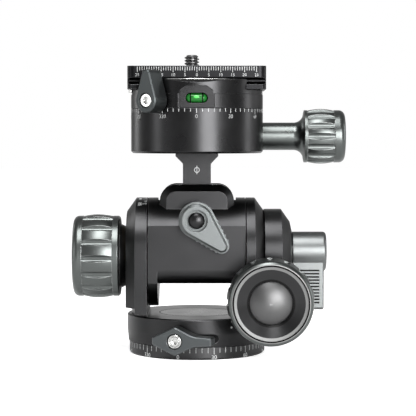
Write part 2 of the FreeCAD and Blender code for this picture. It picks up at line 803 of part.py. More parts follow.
def make_yoke_frame():
    """Platform and two ears, with the tilt worm's barrel through the right ear."""
    body = new_body("yoke_frame")
    low = PLATFORM_BOTTOM
    turn(body, [
        (plus("hub_radius", "shaft_gap"), low),
        ("ring_inner_radius", low),
        ("ring_inner_radius", plus(low, "ring_depth")),
        ("ring_outer_radius", plus(low, "ring_depth")),
        ("ring_outer_radius", low),
        ("platform_radius - platform_taper", low),
        ("platform_radius", plus(low, "platform_taper_height")),
        ("platform_radius", "platform_top - platform_bevel"),
        ("platform_radius - platform_bevel", "platform_top"),
        ("cap_radius", "platform_top"),
        ("cap_radius", CAP_SEAT),
        (COLLAR_WELL, CAP_SEAT),
        (COLLAR_WELL, "hub_top - turn_gap"),
        (plus("hub_radius", "shaft_gap"), "hub_top - turn_gap"),
    ])
    add(body, "XY_Plane", [segment("-1"), segment("1")], "platform_top", "ear_strip_bottom")
    add_ear(body, "-1", "left_ear_outer")
    add_ear(body, "1", "right_ear_outer")
    add(body, "XZ_Plane", [Disc(TILT_WORM_REACH, TILT_WORM_HEIGHT, TILT_BARREL)], minus("barrel_front"),
        "barrel_back")
    cut(body, "YZ_Plane", [Disc("0", "tilt_height", plus("left_trunnion_radius", "shaft_gap", "bush_wall"))],
        minus("left_ear_outer"), minus("ear_inner"))
    cut(body, "YZ_Plane", [Disc("0", "tilt_height", plus("right_trunnion_radius", "shaft_gap", "bush_wall"))],
        "ear_inner", "right_ear_outer")
    cut(body, "YZ_Plane", [Disc("0", "tilt_height", "gear_cavity_radius")],
        "tilt_wheel_start - turn_gap", plus(TILT_WORM_REACH, TILT_BARREL))
    cut(body, "XZ_Plane", [Disc(TILT_WORM_REACH, TILT_WORM_HEIGHT, "worm_bush_radius")],
        minus("barrel_front"), "barrel_back")
    cut(body, "XZ_Plane", [Disc(TILT_WORM_REACH, TILT_WORM_HEIGHT, TILT_WORM_WELL)],
        "worm_bush_length - barrel_front", "barrel_back - worm_bush_length")
    for index in range(int(number("housing_screw_count"))):
        angle = "%d * 360 / housing_screw_count" % index
        y = "housing_screw_circle * sin(%s)" % angle
        z = "tilt_height + housing_screw_circle * cos(%s)" % angle
        cut(body, "YZ_Plane", [Disc(y, z, "screw_radius")], "ear_inner", "right_ear_outer")
        sink = Disc(y, z, "screw_head_radius")
        cut(body, "YZ_Plane", [sink], "ear_inner", "ear_inner + housing_screw_sink")
    mill(body, "lock_azimuth", Disc("0", "lock_height", "lock_bore_radius"), "hub_radius",
         "platform_radius + cut_margin")
    slot_end = "lock_slot_reach - lock_slot_half"
    mill(body, "lock_azimuth", [
        ("0", "lock_height - lock_slot_half"),
        (slot_end, "lock_height - lock_slot_half"),
        Arc(slot_end, "lock_height + lock_slot_half", slot_end, "lock_height"),
        ("0", "lock_height + lock_slot_half"),
    ], "lock_slot_floor", "platform_radius + cut_margin")
    place(body, "0", "0", "0")


def make_platform_cap():
    """Flush disc that closes the platform over the collar."""
    turned_part("platform_cap", ring("0", "cap_radius", "0", "cap_height"), z=CAP_SEAT)


def make_pan_friction_ring():
    """Ring in the platform's groove that slides on the base disc."""
    turned_part("pan_friction_ring",
                ring("ring_inner_radius", "ring_outer_radius", "base_height + shaft_gap",
                     plus(PLATFORM_BOTTOM, "ring_depth")))


def make_ear_bushes():
    """Plain bushes that carry the two trunnions."""
    turned_part("left_ear_bush",
                ring(plus("left_trunnion_radius", "shaft_gap"),
                     plus("left_trunnion_radius", "shaft_gap", "bush_wall"), "ear_inner", "left_ear_outer"),
                z="tilt_height", rotation=LEFT)
    turned_part("right_ear_bush",
                ring(plus("right_trunnion_radius", "shaft_gap"),
                     plus("right_trunnion_radius", "shaft_gap", "bush_wall"), "ear_inner",
                     "tilt_wheel_start - turn_gap"),
                z="tilt_height", rotation=RIGHT)


def make_gear_housing():
    """Cover over the tilt gear, cut round the worm's barrel."""
    body = new_body("gear_housing")
    rim_end = "right_ear_outer + gear_housing_rim"
    cone_end = plus(rim_end, "gear_housing_cone_length")
    dome_end = plus(cone_end, "gear_housing_dome_length")
    well_end = plus("right_ear_outer", "gear_cavity_depth")
    flange_end = plus(well_end, "tilt_clutch_shaft_seat")
    turn(body, [
        ("gear_cavity_radius", "right_ear_outer"),
        ("gear_housing_radius", "right_ear_outer"),
        ("gear_housing_radius", rim_end),
        ("gear_housing_cone_radius", cone_end),
        ("gear_housing_dome_radius", dome_end),
        (plus("tilt_clutch_shaft_radius", "shaft_gap"), dome_end),
        (plus("tilt_clutch_shaft_radius", "shaft_gap"), flange_end),
        (plus("tilt_clutch_shaft_flange", "turn_gap"), flange_end),
        (plus("tilt_clutch_shaft_flange", "turn_gap"), well_end),
        ("gear_cavity_radius", well_end),
    ])
    cut(body, "XZ_Plane", [Disc(TILT_CENTRES, TILT_WORM_REACH, plus(TILT_BARREL, "shaft_gap"))],
        minus("barrel_front + cut_margin"), "barrel_back + cut_margin")
    hole = cut(body, "XY_Plane", [Disc("-housing_screw_circle", "0", "screw_radius")], "right_ear_outer",
               "ear_inner + housing_screw_sink + housing_screw_length")
    around(body, hole, "housing_screw_count")
    place(body, "0", "0", "tilt_height", RIGHT)


def make_housing_screws():
    """Screws from inside the right ear that hold the gear housing."""
    spots = circle_of(number("housing_screw_circle"), int(number("housing_screw_count")), 0.0)
    screw_group("housing_screws", spots, "housing_screw_length", LEFT, x="ear_inner + housing_screw_sink",
                z="tilt_height")


# ---------------------------------------------------------------------------
# Lock lever of the base.
# ---------------------------------------------------------------------------
def make_lock_lever():
    """Two-winged lever on a radial stud that presses a pad on the hub."""
    body = new_body("lock_lever")
    back = plus("platform_radius", "lock_neck_length")
    front = plus(back, "lock_wing_thickness")
    corners = (
        ("lock_right_reach", "lock_end_half", "lock_end_round"),
        ("lock_waist_reach", "lock_waist_half", "lock_waist_round"),
        ("0", "lock_hub_half", "lock_hub_round"),
        (minus("lock_left_reach"), "lock_left_tip_half", "lock_left_tip_round"),
    )
    upper = [(x, half) for x, half, _ in corners]
    lower = [(x, minus(half)) for x, half, _ in reversed(corners)]
    add(body, "XY_Plane", [upper + lower], back, front)
    for x, half, radius in corners:
        soften(body, upright_at(x, half), radius)
    bevel(body, lambda edge: abs(edge.BoundBox.ZMin - number(front)) < NEAR, "lock_wing_bevel")
    add(body, "XY_Plane", [Disc("0", "0", "lock_neck_radius")], plus("platform_radius", "turn_gap"), back)
    cut(body, "XY_Plane", [Disc("0", "0", "lock_stud_radius")], plus("platform_radius", "turn_gap"), front)
    cut(body, "XY_Plane", [Disc("0", "0", "lock_screw_radius + lock_screw_margin")],
        plus(front, minus("lock_screw_height")), front)
    place(body, "0", "0", "lock_height", swung("lock_azimuth"))


def upright_at(x, half):
    """Test for the two straight edges along Z at an outline's corner, above and below its middle."""
    spot_x = number(x)
    spot_y = number(half)

    def chosen(edge):
        """Whether an edge stands on that corner."""
        bounds = edge.BoundBox
        upright = bounds.XMax - bounds.XMin < NEAR and bounds.YMax - bounds.YMin < NEAR
        return upright and abs(bounds.XMin - spot_x) < NEAR and abs(abs(bounds.YMin) - spot_y) < NEAR
    return chosen


def make_lock_stud():
    """Stud with the bright screw head at its outer end."""
    front = plus("platform_radius", "lock_neck_length", "lock_wing_thickness")
    turned_part("lock_stud", [
        ("0", plus("hub_radius", "turn_gap", "lock_pad_length")),
        ("lock_stud_radius", plus("hub_radius", "turn_gap", "lock_pad_length")),
        ("lock_stud_radius", plus(front, minus("lock_screw_height"))),
        ("lock_screw_radius", plus(front, minus("lock_screw_height"))),
        ("lock_screw_radius", plus(front, "lock_screw_proud")),
        ("0", plus(front, "lock_screw_proud")),
    ], z="lock_height", rotation=swung("lock_azimuth"))


def make_lock_pad():
    """Soft pad that the stud presses on the hub."""
    turned_part("lock_pad", ring("0", "lock_bore_radius - shaft_gap", "hub_radius + turn_gap",
                                 plus("hub_radius", "turn_gap", "lock_pad_length")),
                z="lock_height", rotation=swung("lock_azimuth"))


# ---------------------------------------------------------------------------
# Worm gearing.
# ---------------------------------------------------------------------------
def worm_shape(module, pitch_radius, low, high, shaft_radius):
    """A worm with one right-hand thread, centred on the origin, on a shaft along Z.

    The thread is whole at Z = 0 on the +X side, so a gap faces -X, where the wheel's tooth enters.
    """
    lead = math.pi * module
    turns = int(number("worm_thread_turns"))
    slope = math.tan(math.radians(number("gear_pressure_angle")))
    half = lead / 4 - number("gear_backlash") / 2
    tip = pitch_radius + TOOTH_TIP * module
    root = pitch_radius - TOOTH_ROOT * module
    sunk = root - SEAM
    start = -lead * turns / 2
    helix = Part.makeHelix(lead, lead * turns, pitch_radius)
    helix.translate(Vector(0, 0, start))
    section = Part.makePolygon([
        Vector(sunk, 0, start - half - (pitch_radius - sunk) * slope),
        Vector(tip, 0, start - half + (tip - pitch_radius) * slope),
        Vector(tip, 0, start + half - (tip - pitch_radius) * slope),
        Vector(sunk, 0, start + half + (pitch_radius - sunk) * slope),
        Vector(sunk, 0, start - half - (pitch_radius - sunk) * slope),
    ])
    thread = Part.Wire(helix.Edges).makePipeShell([section], True, True)
    core = Part.makeCylinder(root, lead * (turns + 2), Vector(0, 0, start - lead))
    shaft = Part.makeCylinder(shaft_radius, high - low, Vector(0, 0, low))
    return core.fuse([shaft, thread]).removeSplitter()


def wheel_shape(teeth, module, width, bore, worm_radius, count):
    """A worm wheel, or a sector of one, with its middle tooth on +X and its axis along Z."""
    pitch_radius = teeth * module / 2
    tip = pitch_radius + TOOTH_TIP * module
    root = pitch_radius - TOOTH_ROOT * module
    slope = math.tan(math.radians(number("gear_pressure_angle")))
    half = math.pi * module / 4 - number("gear_backlash") / 2
    step = 360.0 / teeth
    lean = -math.degrees(math.atan(module / (2 * worm_radius)))
    low = Vector(0, 0, -width / 2)
    span = 360.0 if count == teeth else step * count
    rim = Part.makeCylinder(root, width, low, Vector(0, 0, 1), span)
    rim.rotate(Vector(), Vector(0, 0, 1), -span / 2)
    rim = rim.cut(Part.makeCylinder(bore, width, low))
    sunk = root - SEAM * 2
    section = Part.makePolygon([
        Vector(sunk, -half - (pitch_radius - sunk) * slope, 0),
        Vector(tip, -half + (tip - pitch_radius) * slope, 0),
        Vector(tip, half - (tip - pitch_radius) * slope, 0),
        Vector(sunk, half + (pitch_radius - sunk) * slope, 0),
        Vector(sunk, -half - (pitch_radius - sunk) * slope, 0),
    ])
    run = Vector(0, -math.sin(math.radians(lean)), math.cos(math.radians(lean))) * (width * TOOTH_SPARE)
    tooth = Part.Face(section).extrude(run)
    tooth.translate(run * -0.5)
    slab = Part.makeBox(4 * tip, 4 * tip, width, Vector(-2 * tip, -2 * tip, -width / 2))
    tooth = tooth.common(slab)
    solids = []
    for index in range(count):
        copy = tooth.copy()
        copy.rotate(Vector(), Vector(0, 0, 1), step * (index - count // 2))
        solids.append(copy)
    return rim.fuse(solids).removeSplitter()


def code_part(label, shape, x, y, z, rotation):
    """A sub-part whose shape is made by Part's own functions."""
    item = doc.addObject("Part::Feature", label)
    item.Label = label
    item.Shape = shape
    PARTS.append(item)
    place(item, x, y, z, rotation)


def make_tilt_gear():
    """Wheel on the right trunnion and the worm under it."""
    code_part("tilt_worm_wheel",
              wheel_shape(int(number("tilt_teeth")), number("tilt_module"), number("tilt_wheel_width"),
                          number("tilt_wheel_bore"), number("tilt_worm_radius"), int(number("tilt_teeth"))),
              TILT_WORM_REACH, "0", "tilt_height", RIGHT)
    code_part("tilt_worm",
              worm_shape(number("tilt_module"), number("tilt_worm_radius"), -number("barrel_back"),
                         number("tilt_knob_start") + number("knob_shaft_reach"), number("worm_shaft_radius")),
              TILT_WORM_REACH, "0", TILT_WORM_HEIGHT, spun(FRONT, -90))


def bush_shapes(lows):
    """Worm-shaft bushes along Z, each with its lower end at one of the heights given."""
    bushes = []
    for low in lows:
        start = Vector(0, 0, number(low))
        outer = Part.makeCylinder(number("worm_bush_radius"), number("worm_bush_length"), start)
        bushes.append(outer.cut(Part.makeCylinder(number(WORM_BORE), number("worm_bush_length"), start)))
    return bushes


def make_tilt_worm_bushes():
    """Bushes at both ends of the tilt worm's barrel."""
    group_part("tilt_worm_bushes", bush_shapes(["barrel_front - worm_bush_length", minus("barrel_back")]),
               TILT_WORM_REACH, "0", TILT_WORM_HEIGHT, FRONT)


# ---------------------------------------------------------------------------
# Large fluted knobs of the tilt and the roll.
# ---------------------------------------------------------------------------
def make_large_knob(label, x, y, z, rotation):
    """Crowned knob with sixteen flutes between two smooth rims and a dished face."""
    body = new_body(label)
    band_low = "knob_inner_rim"
    band_high = plus(band_low, "knob_flute_length")
    crown_curve = dome_curve("knob_flute_length / 2", "knob_crown_rise")
    crown_centre = "knob_rim_radius - knob_band_step + knob_crown_rise - %s" % crown_curve
    groove_outer = "knob_ring_outer"
    groove_inner = "knob_ring_outer - knob_groove_width"
    ring_level = "knob_length - knob_ring_sink"
    groove_floor = "knob_length - knob_groove_depth"
    turn(body, [
        ("worm_shaft_radius", "knob_hub_recess"),
        ("knob_hub_radius", "knob_hub_recess"),
        ("knob_hub_radius", "0"),
        ("knob_rim_radius - knob_edge_bevel", "0"),
        ("knob_rim_radius", "knob_edge_bevel"),
        ("knob_rim_radius", band_low),
        ("knob_rim_radius - knob_band_step", band_low),
        Arc("knob_rim_radius - knob_band_step", band_high, crown_centre,
            plus(band_low, "knob_flute_length / 2")),
        ("knob_rim_radius", band_high),
        ("knob_rim_radius", "knob_length - knob_face_round"),
        Arc("knob_rim_radius - knob_face_round", "knob_length", "knob_rim_radius - knob_face_round",
            "knob_length - knob_face_round"),
        (groove_outer, ring_level),
        (groove_outer, groove_floor),
        (groove_inner, groove_floor),
        (groove_inner, ring_level),
        ("knob_ring_inner", groove_floor),
        ("knob_dish_radius", "knob_length - knob_dish_depth"),
        ("knob_dish_radius", "knob_length - knob_dish_depth - knob_cap_seat"),
        ("worm_shaft_radius", "knob_length - knob_dish_depth - knob_cap_seat"),
    ])
    flute = cut(body, "XY_Plane", [Disc("knob_flute_floor + knob_flute_radius", "0", "knob_flute_radius")],
                band_low, band_high)
    around(body, flute, "knob_flute_count")
    place(body, x, y, z, rotation)


def knob_cap_outline():
    """Half outline of the domed cap in a large knob's face."""
    low = "knob_length - knob_dish_depth - knob_cap_seat"
    edge = "knob_length - knob_dish_depth - knob_cap_sink"
    radius = "knob_dish_radius - shaft_gap"
    curve = dome_curve(radius, "knob_cap_rise")
    return [
        ("0", low),
        (radius, low),
        (radius, edge),
        Arc("0", plus(edge, "knob_cap_rise"), "0", "%s + knob_cap_rise - %s" % (edge, curve)),
    ]


def make_tilt_knob():
    """Front knob of the tilt with its cap."""
    spot = (TILT_WORM_REACH, minus("tilt_knob_start"), TILT_WORM_HEIGHT, FRONT)
    make_large_knob("tilt_knob", *spot)
    turned_part("tilt_knob_cap", knob_cap_outline(), *spot)


def make_roll_knob():
    """Left knob of the roll with its cap."""
    spot = (minus("roll_knob_start"), "0", ROLL_WORM_HEIGHT, LEFT)
    make_large_knob("roll_knob", *spot)
    turned_part("roll_knob_cap", knob_cap_outline(), *spot)


# ---------------------------------------------------------------------------
# Tilt body: housing, trunnions and what turns with them.
# ---------------------------------------------------------------------------
def make_tilt_housing():
    """Barrel with flats and a hood; its frame is on the tilt axis."""
    body = new_body("tilt_housing")
    add(body, "XZ_Plane", [[
        (minus("hood_half"), "0"),
        ("hood_half", "0"),
        ("hood_half", "hood_shoulder"),
        Arc("hood_flat_half", "hood_top", "hood_flat_half", "hood_shoulder"),
        (minus("hood_flat_half"), "hood_top"),
        Arc(minus("hood_half"), "hood_shoulder", minus("hood_flat_half"), "hood_shoulder"),
    ]], minus("hood_depth"), "hood_depth")
    bevel(body, hood_rim, "hood_bevel")
    crease = "sqrt(barrel_radius ^ 2 - flat_half ^ 2)"
    rounding = "underside_round - underside_drop"
    inner = "flat_half - underside_round"
    add(body, "YZ_Plane", [[
        ("flat_half", crease),
        Arc(minus("flat_half"), crease, "0", "0"),
        (minus("flat_half"), rounding),
        Arc(minus(inner), minus("underside_drop"), minus(inner), rounding),
        (inner, minus("underside_drop")),
        Arc("flat_half", rounding, inner, rounding),
    ]], minus("barrel_half"), "barrel_half")
    end_disc = [
        ("flat_half", crease),
        Arc(minus("flat_half"), crease, "0", "0"),
        (minus("flat_half"), minus(crease)),
        Arc("flat_half", minus(crease), "0", "0"),
    ]
    add(body, "YZ_Plane", [end_disc], minus("barrel_half"), minus("underside_half"))
    add(body, "YZ_Plane", [end_disc], "underside_half", "barrel_half")
    add(body, "XZ_Plane", [Disc("0", ROLL_RISE, "roll_boss_radius")], minus("flat_half"), minus("slot_half"))
    cut(body, "YZ_Plane", [box(minus("slot_half"), "slot_floor", "slot_half", "hood_top + cut_margin")],
        minus("hood_half + cut_margin"), "hood_half + cut_margin")
    cut(body, "XZ_Plane", [Disc("0", ROLL_RISE, ROLL_POCKET)], minus("slot_half"), "slot_half")
    cut(body, "XZ_Plane", [Disc("0", ROLL_RISE, plus("roll_pin_radius", "shaft_gap"))], minus("flat_half"),
        "hood_depth")
    drop = minus("roll_worm_drop")
    cut(body, "YZ_Plane", [Disc("0", drop, ROLL_WORM_WELL)], minus("roll_well_half"), "roll_well_half")
    cut(body, "YZ_Plane", [Disc("0", drop, "worm_bush_radius")], "roll_well_half",
        "roll_well_half + worm_bush_length")
    cut(body, "YZ_Plane", [Disc("0", "0", "left_trunnion_radius")], minus("barrel_half"),
        "trunnion_seat - barrel_half")
    cut(body, "YZ_Plane", [Disc("0", drop, "worm_bush_radius")], "trunnion_seat - barrel_half",
        minus("roll_well_half"))
    cut(body, "YZ_Plane", [Disc("0", "0", "right_trunnion_radius")], "barrel_half - trunnion_seat",
        "barrel_half")
    place(body, "0", "0", "tilt_height")


def hood_rim(edge):
    """Whether an edge runs round the hood's front or rear face, apart from its bottom."""
    bounds = edge.BoundBox
    flat = bounds.YMax - bounds.YMin < NEAR and abs(abs(bounds.YMin) - number("hood_depth")) < NEAR
    return flat and bounds.ZMax > NEAR


def make_trunnions():
    """Left trunnion with its off-centre bore, right trunnion with the wheel's seat."""
    body = new_body("left_trunnion")
    low = "barrel_half - trunnion_seat"
    high = "left_ear_outer + turn_gap"
    add(body, "XY_Plane", [Disc("0", "0", "left_trunnion_radius")], low, high)
    cut(body, "XY_Plane", [Disc(minus("roll_worm_drop"), "0", "worm_bush_radius")], low, high)
    place(body, "0", "0", "tilt_height", LEFT)
    wheel_low = "tilt_wheel_start"
    wheel_high = "tilt_wheel_start + tilt_wheel_width"
    turned_part("right_trunnion", [
        ("0", low),
        ("right_trunnion_radius", low),
        ("right_trunnion_radius", wheel_low),
        ("tilt_wheel_bore", wheel_low),
        ("tilt_wheel_bore", wheel_high),
        ("wheel_screw_radius", wheel_high),
        ("wheel_screw_radius", wheel_low),
        ("0", wheel_low),
    ], z="tilt_height", rotation=RIGHT)
    turned_part("wheel_screw", [
        ("0", wheel_low),
        ("wheel_screw_radius", wheel_low),
        ("wheel_screw_radius", wheel_high),
        ("tilt_wheel_bore + wheel_screw_overhang", wheel_high),
        ("tilt_wheel_bore + wheel_screw_overhang", plus(wheel_high, "wheel_screw_head_height")),
        ("0", plus(wheel_high, "wheel_screw_head_height")),
    ], z="tilt_height", rotation=RIGHT)


def make_trunnion_cone():
    """Black cone outside the left ear that keeps the trunnion in and carries the roll worm."""
    turned_part("trunnion_cone", [
        (WORM_BORE, "left_ear_outer + turn_gap"),
        ("cone_small_radius", "left_ear_outer + turn_gap"),
        ("cone_large_radius", "left_ear_outer + turn_gap + cone_length"),
        (WORM_BORE, "left_ear_outer + turn_gap + cone_length"),
    ], z=ROLL_WORM_HEIGHT, rotation=LEFT)


def make_roll_worm():
    """Worm under the roll pivot, on a shaft out through the left trunnion."""
    code_part("roll_worm",
              worm_shape(number("roll_module"), number("roll_worm_radius"),
                         -number(plus("roll_well_half", "worm_bush_length")),
                         number("roll_knob_start") + number("knob_shaft_reach"), number("worm_shaft_radius")),
              "0", "0", ROLL_WORM_HEIGHT, spun(LEFT, 180))


def make_roll_worm_bushes():
    """Bushes either side of the roll worm."""
    lows = [minus("roll_well_half + worm_bush_length"), "left_ear_outer + turn_gap - worm_bush_length"]
    group_part("roll_worm_bushes", bush_shapes(lows), "0", "0", ROLL_WORM_HEIGHT, LEFT)


def make_roll_pin():
    """Pin through the housing that the arm swings on."""
    front = "flat_half - roll_clutch_pin_drop"
    turned_part("roll_pin", ring("0", "roll_pin_radius", minus("hood_depth"), front), z="roll_height",
                rotation=FRONT)


# ---------------------------------------------------------------------------
# Clutch levers of the tilt and the roll.
# ---------------------------------------------------------------------------
def make_tilt_clutch_lever():
    """Hub on the tilt axis with a ribbed paddle that hangs down; its frame is on the tilt axis."""
    body = new_body("tilt_clutch_lever")
    low = TILT_CLUTCH_START
    high = plus(low, "tilt_clutch_length")
    front = "tilt_paddle_front"
    bevel_size = "tilt_paddle_tip_bevel"
    tip = minus("tilt_paddle_reach")
    add(body, "YZ_Plane", [[
        (minus(front), minus("tilt_paddle_shoulder")),
        (minus(front), plus(tip, bevel_size)),
        (plus(minus(front), bevel_size), tip),
        (plus(minus(front), "tilt_paddle_tip_thickness"), tip),
        ("tilt_clutch_hub_radius * cos(tilt_paddle_rear_angle)",
         "-tilt_clutch_hub_radius * sin(tilt_paddle_rear_angle)"),
        ("0", "0"),
    ]], low, plus(low, "tilt_paddle_width"))
    soften(body, lambda edge: on_level(edge, number(plus(low, "tilt_paddle_width"))), "edge_bevel")
    add(body, "YZ_Plane", [Disc("0", "0", "tilt_clutch_hub_radius")], low, high)
    soften(body, lambda edge: on_level(edge, number(high)), "tilt_clutch_round")
    rib_top = plus(tip, "tilt_rib_border", "tilt_rib_pitch * tilt_rib_count")
    rib_bottom = plus(rib_top, "-tilt_rib_pitch / 2")
    rib_end = plus(low, "tilt_paddle_width", minus("tilt_rib_border"))
    groove = cut(body, "XZ_Plane", [box(plus(low, "tilt_rib_border"), rib_bottom, rib_end, rib_top)],
                 minus(plus(front, "cut_margin")), plus(minus(front), "tilt_rib_depth"))
    down = along(body, groove, "Z_Axis", "tilt_rib_count", "tilt_rib_pitch")
    down.Reversed = True
    cut(body, "YZ_Plane", [Disc("0", "0", "tilt_clutch_shaft_radius")], low, high)
    cut(body, "YZ_Plane", [Disc("0", "0", "tilt_clutch_cap_radius")],
        plus(high, minus("tilt_clutch_cap_height")), high)
    place(body, "0", "0", "tilt_height")


def on_level(edge, reach):
    """Whether an edge lies in the plane X = reach."""
    bounds = edge.BoundBox
    return abs(bounds.XMin - reach) < NEAR and abs(bounds.XMax - reach) < NEAR


def make_tilt_clutch_shaft():
    """Flanged shaft of the tilt clutch and the cap that closes the lever's hub."""
    well = plus("right_ear_outer", "gear_cavity_depth")
    end = plus(TILT_CLUTCH_START, "tilt_clutch_length")
    cap_seat = plus(end, minus("tilt_clutch_cap_height"))
    turned_part("tilt_clutch_shaft", [
        ("0", well),
        ("tilt_clutch_shaft_flange", well),
        ("tilt_clutch_shaft_flange", plus(well, "tilt_clutch_shaft_seat", minus("shaft_gap"))),
        ("tilt_clutch_shaft_radius", plus(well, "tilt_clutch_shaft_seat", minus("shaft_gap"))),
        ("tilt_clutch_shaft_radius", cap_seat),
        ("0", cap_seat),
    ], z="tilt_height", rotation=RIGHT)
    cap_top = plus(end, minus("tilt_clutch_cap_sink"))
    turned_part("tilt_clutch_cap", ring("0", "tilt_clutch_cap_radius", cap_seat, cap_top), z="tilt_height",
                rotation=RIGHT)


def tapered_outline(hub, tip, reach):
    """Outline of a hub that narrows by tangents to a round tip along +X."""
    centre = "%s - (%s)" % (reach, tip)
    lean = "asin(((%s) - (%s)) / (%s))" % (hub, tip, centre)
    hub_x = "(%s) * sin(%s)" % (hub, lean)
    hub_y = "(%s) * cos(%s)" % (hub, lean)
    tip_x = "%s + (%s) * sin(%s)" % (centre, tip, lean)
    tip_y = "(%s) * cos(%s)" % (tip, lean)
    return [
        (tip_x, minus(tip_y)),
        Arc(tip_x, tip_y, centre, "0"),
        (hub_x, hub_y),
        Arc(hub_x, minus(hub_y), "0", "0"),
    ]


def paddle_outline(border):
    """Outline of the roll clutch lever inside a border."""
    edge = "- %s" % border
    return tapered_outline("roll_clutch_hub_radius" + edge, "roll_clutch_tip_radius" + edge,
                           "roll_clutch_reach" + edge)


def make_roll_clutch_lever():
    """Two-layer lever on the roll axis; the rear layer's edges carry grip teeth."""
    body = new_body("roll_clutch_lever")
    low = "flat_half + turn_gap"
    middle = plus(low, "roll_clutch_rear")
    high = plus(middle, "roll_clutch_front")
    add(body, "XY_Plane", [paddle_outline("0")], low, middle)
    centre = "roll_clutch_reach - roll_clutch_tip_radius"
    narrowing = "(roll_clutch_hub_radius - roll_clutch_tip_radius) / (%s)" % centre
    for side in ("1", "-1"):
        for index in range(int(number("roll_tooth_count"))):
            x = "%s - roll_tooth_pitch * %d" % (centre, index)
            y = "%s * (roll_clutch_hub_radius - (%s) * %s)" % (side, x, narrowing)
            add(body, "XY_Plane", [Disc(x, y, "roll_tooth_radius")], low, middle)
    add(body, "XY_Plane", [paddle_outline("roll_clutch_border")], middle, high)
    bevel(body, lambda edge: abs(edge.BoundBox.ZMin - number(high)) < NEAR, "edge_bevel")
    cut(body, "XY_Plane", [Disc("0", "0", "roll_clutch_well_radius")],
        plus(high, minus("roll_clutch_well_depth")), high)
    place(body, "0", "0", "roll_height", spun(FRONT, number("roll_clutch_azimuth")))


def make_roll_clutch_cap():
    """Domed cap in the roll clutch lever's well."""
    low = "flat_half + turn_gap + roll_clutch_rear + roll_clutch_front - roll_clutch_well_depth"
    rise = "roll_clutch_cap_rise"
    edge = plus(low, "roll_clutch_well_depth", minus(rise))
    curve = dome_curve("roll_clutch_cap_radius", rise)
    turned_part("roll_clutch_cap", [
        ("0", low),
        ("roll_clutch_cap_radius", low),
        ("roll_clutch_cap_radius", edge),
        Arc("0", plus(edge, rise), "0", plus(edge, rise, minus(curve))),
    ], z="roll_height", rotation=FRONT)


# ---------------------------------------------------------------------------
# Roll arm and the pan unit that it carries.
# ---------------------------------------------------------------------------
def make_roll_arm():
    """Upright arm that swings on the roll pin; its frame is on the roll axis."""
    body = new_body("roll_arm")
    half_depth = "arm_depth / 2"
    top = "pan_bottom - roll_height"
    flare_low = "arm_flare_start - roll_height"
    flare_high = "arm_flare_end - roll_height"
    add(body, "XZ_Plane", [[
        ("arm_half", "0"),
        ("arm_half", flare_low),
        ("arm_flare_half", flare_high),
        ("arm_flare_half", top),
        (minus("arm_flare_half"), top),
        (minus("arm_flare_half"), flare_high),
        (minus("arm_half"), flare_low),
        (minus("arm_half"), "0"),
    ]], minus(half_depth), half_depth)
    add(body, "XZ_Plane", [Disc("0", "0", "arm_hub_radius")], minus(half_depth), half_depth)
    cut(body, "XZ_Plane", [Disc("0", "0", "roll_pin_radius + shaft_gap")], minus(half_depth), half_depth)
    screw_end = plus(top, "pan_floor_height", minus("screw_head_height"), minus("pan_screw_length"))
    for side in ("1", "-1"):
        cut(body, "XY_Plane", [Disc("%s * pan_screw_circle" % side, "0", "screw_radius")], screw_end, top)
    place(body, "0", "0", "roll_height")


def make_sector_gear():
    """Toothed sector round the arm's hub that the roll worm drives."""
    code_part("sector_gear",
              wheel_shape(int(number("roll_teeth")), number("roll_module"), number("roll_sector_width"),
                          number("arm_hub_radius"), number("roll_worm_radius"),
                          int(number("roll_sector_teeth"))),
              "0", "0", "roll_height", spun(BACK, 90))


def make_pan_housing():
    """Lower pan disc: a cup for the pan gear with a barrel for its worm behind the axis."""
    body = new_body("pan_housing")
    turn(body, [
        ("pan_floor_radius", "pan_bottom"),
        ("pan_radius - edge_bevel", "pan_bottom"),
        ("pan_radius", plus("pan_bottom", "edge_bevel")),
        ("pan_radius", "pan_top"),
        (plus("pan_spindle_radius", "shaft_gap"), "pan_top"),
        (plus("pan_spindle_radius", "shaft_gap"), PAN_WELL_TOP),
        (PAN_CAVITY, PAN_WELL_TOP),
        (PAN_CAVITY, plus("pan_bottom", "pan_floor_height")),
        ("pan_floor_radius", plus("pan_bottom", "pan_floor_height")),
    ])
    cut(body, "YZ_Plane", [Disc(PAN_CENTRES, "pan_drive_height", PAN_WORM_WELL)], minus("pan_well_half"),
        "pan_well_half")
    cut(body, "YZ_Plane", [Disc(PAN_CENTRES, "pan_drive_height", "worm_bush_radius")], "pan_well_half",
        "pan_radius")
    cut(body, "YZ_Plane", [Disc(PAN_CENTRES, "pan_drive_height", plus("pan_shank_radius", "turn_gap"))],
        "pan_shank_start - turn_gap", "pan_radius")
    cut(body, "YZ_Plane", [Disc(PAN_CENTRES, "pan_drive_height", WORM_BORE)],
        minus("pan_worm_tail + turn_gap"), minus("pan_well_half"))
    place(body, "0", "0", "0")


def make_pan_floor():
    """Disc that closes the pan housing and bolts to the arm."""
    body = new_body("pan_floor")
    turn(body, ring("0", "pan_floor_radius", "0", "pan_floor_height"))
    for side in ("1", "-1"):
        spot = "%s * pan_screw_circle" % side
        cut(body, "XY_Plane", [Disc(spot, "0", "screw_radius")], "0", "pan_floor_height")
        cut(body, "XY_Plane", [Disc(spot, "0", "screw_head_radius")], "pan_floor_height - screw_head_height",
            "pan_floor_height")
    place(body, "0", "0", "pan_bottom")


def make_pan_floor_screws():
    """Two screws down through the floor into the arm."""
    reach = number("pan_screw_circle")
    screw_group("pan_floor_screws", [Vector(reach, 0, 0), Vector(-reach, 0, 0)],
                "pan_screw_length", z="pan_bottom + pan_floor_height - screw_head_height")


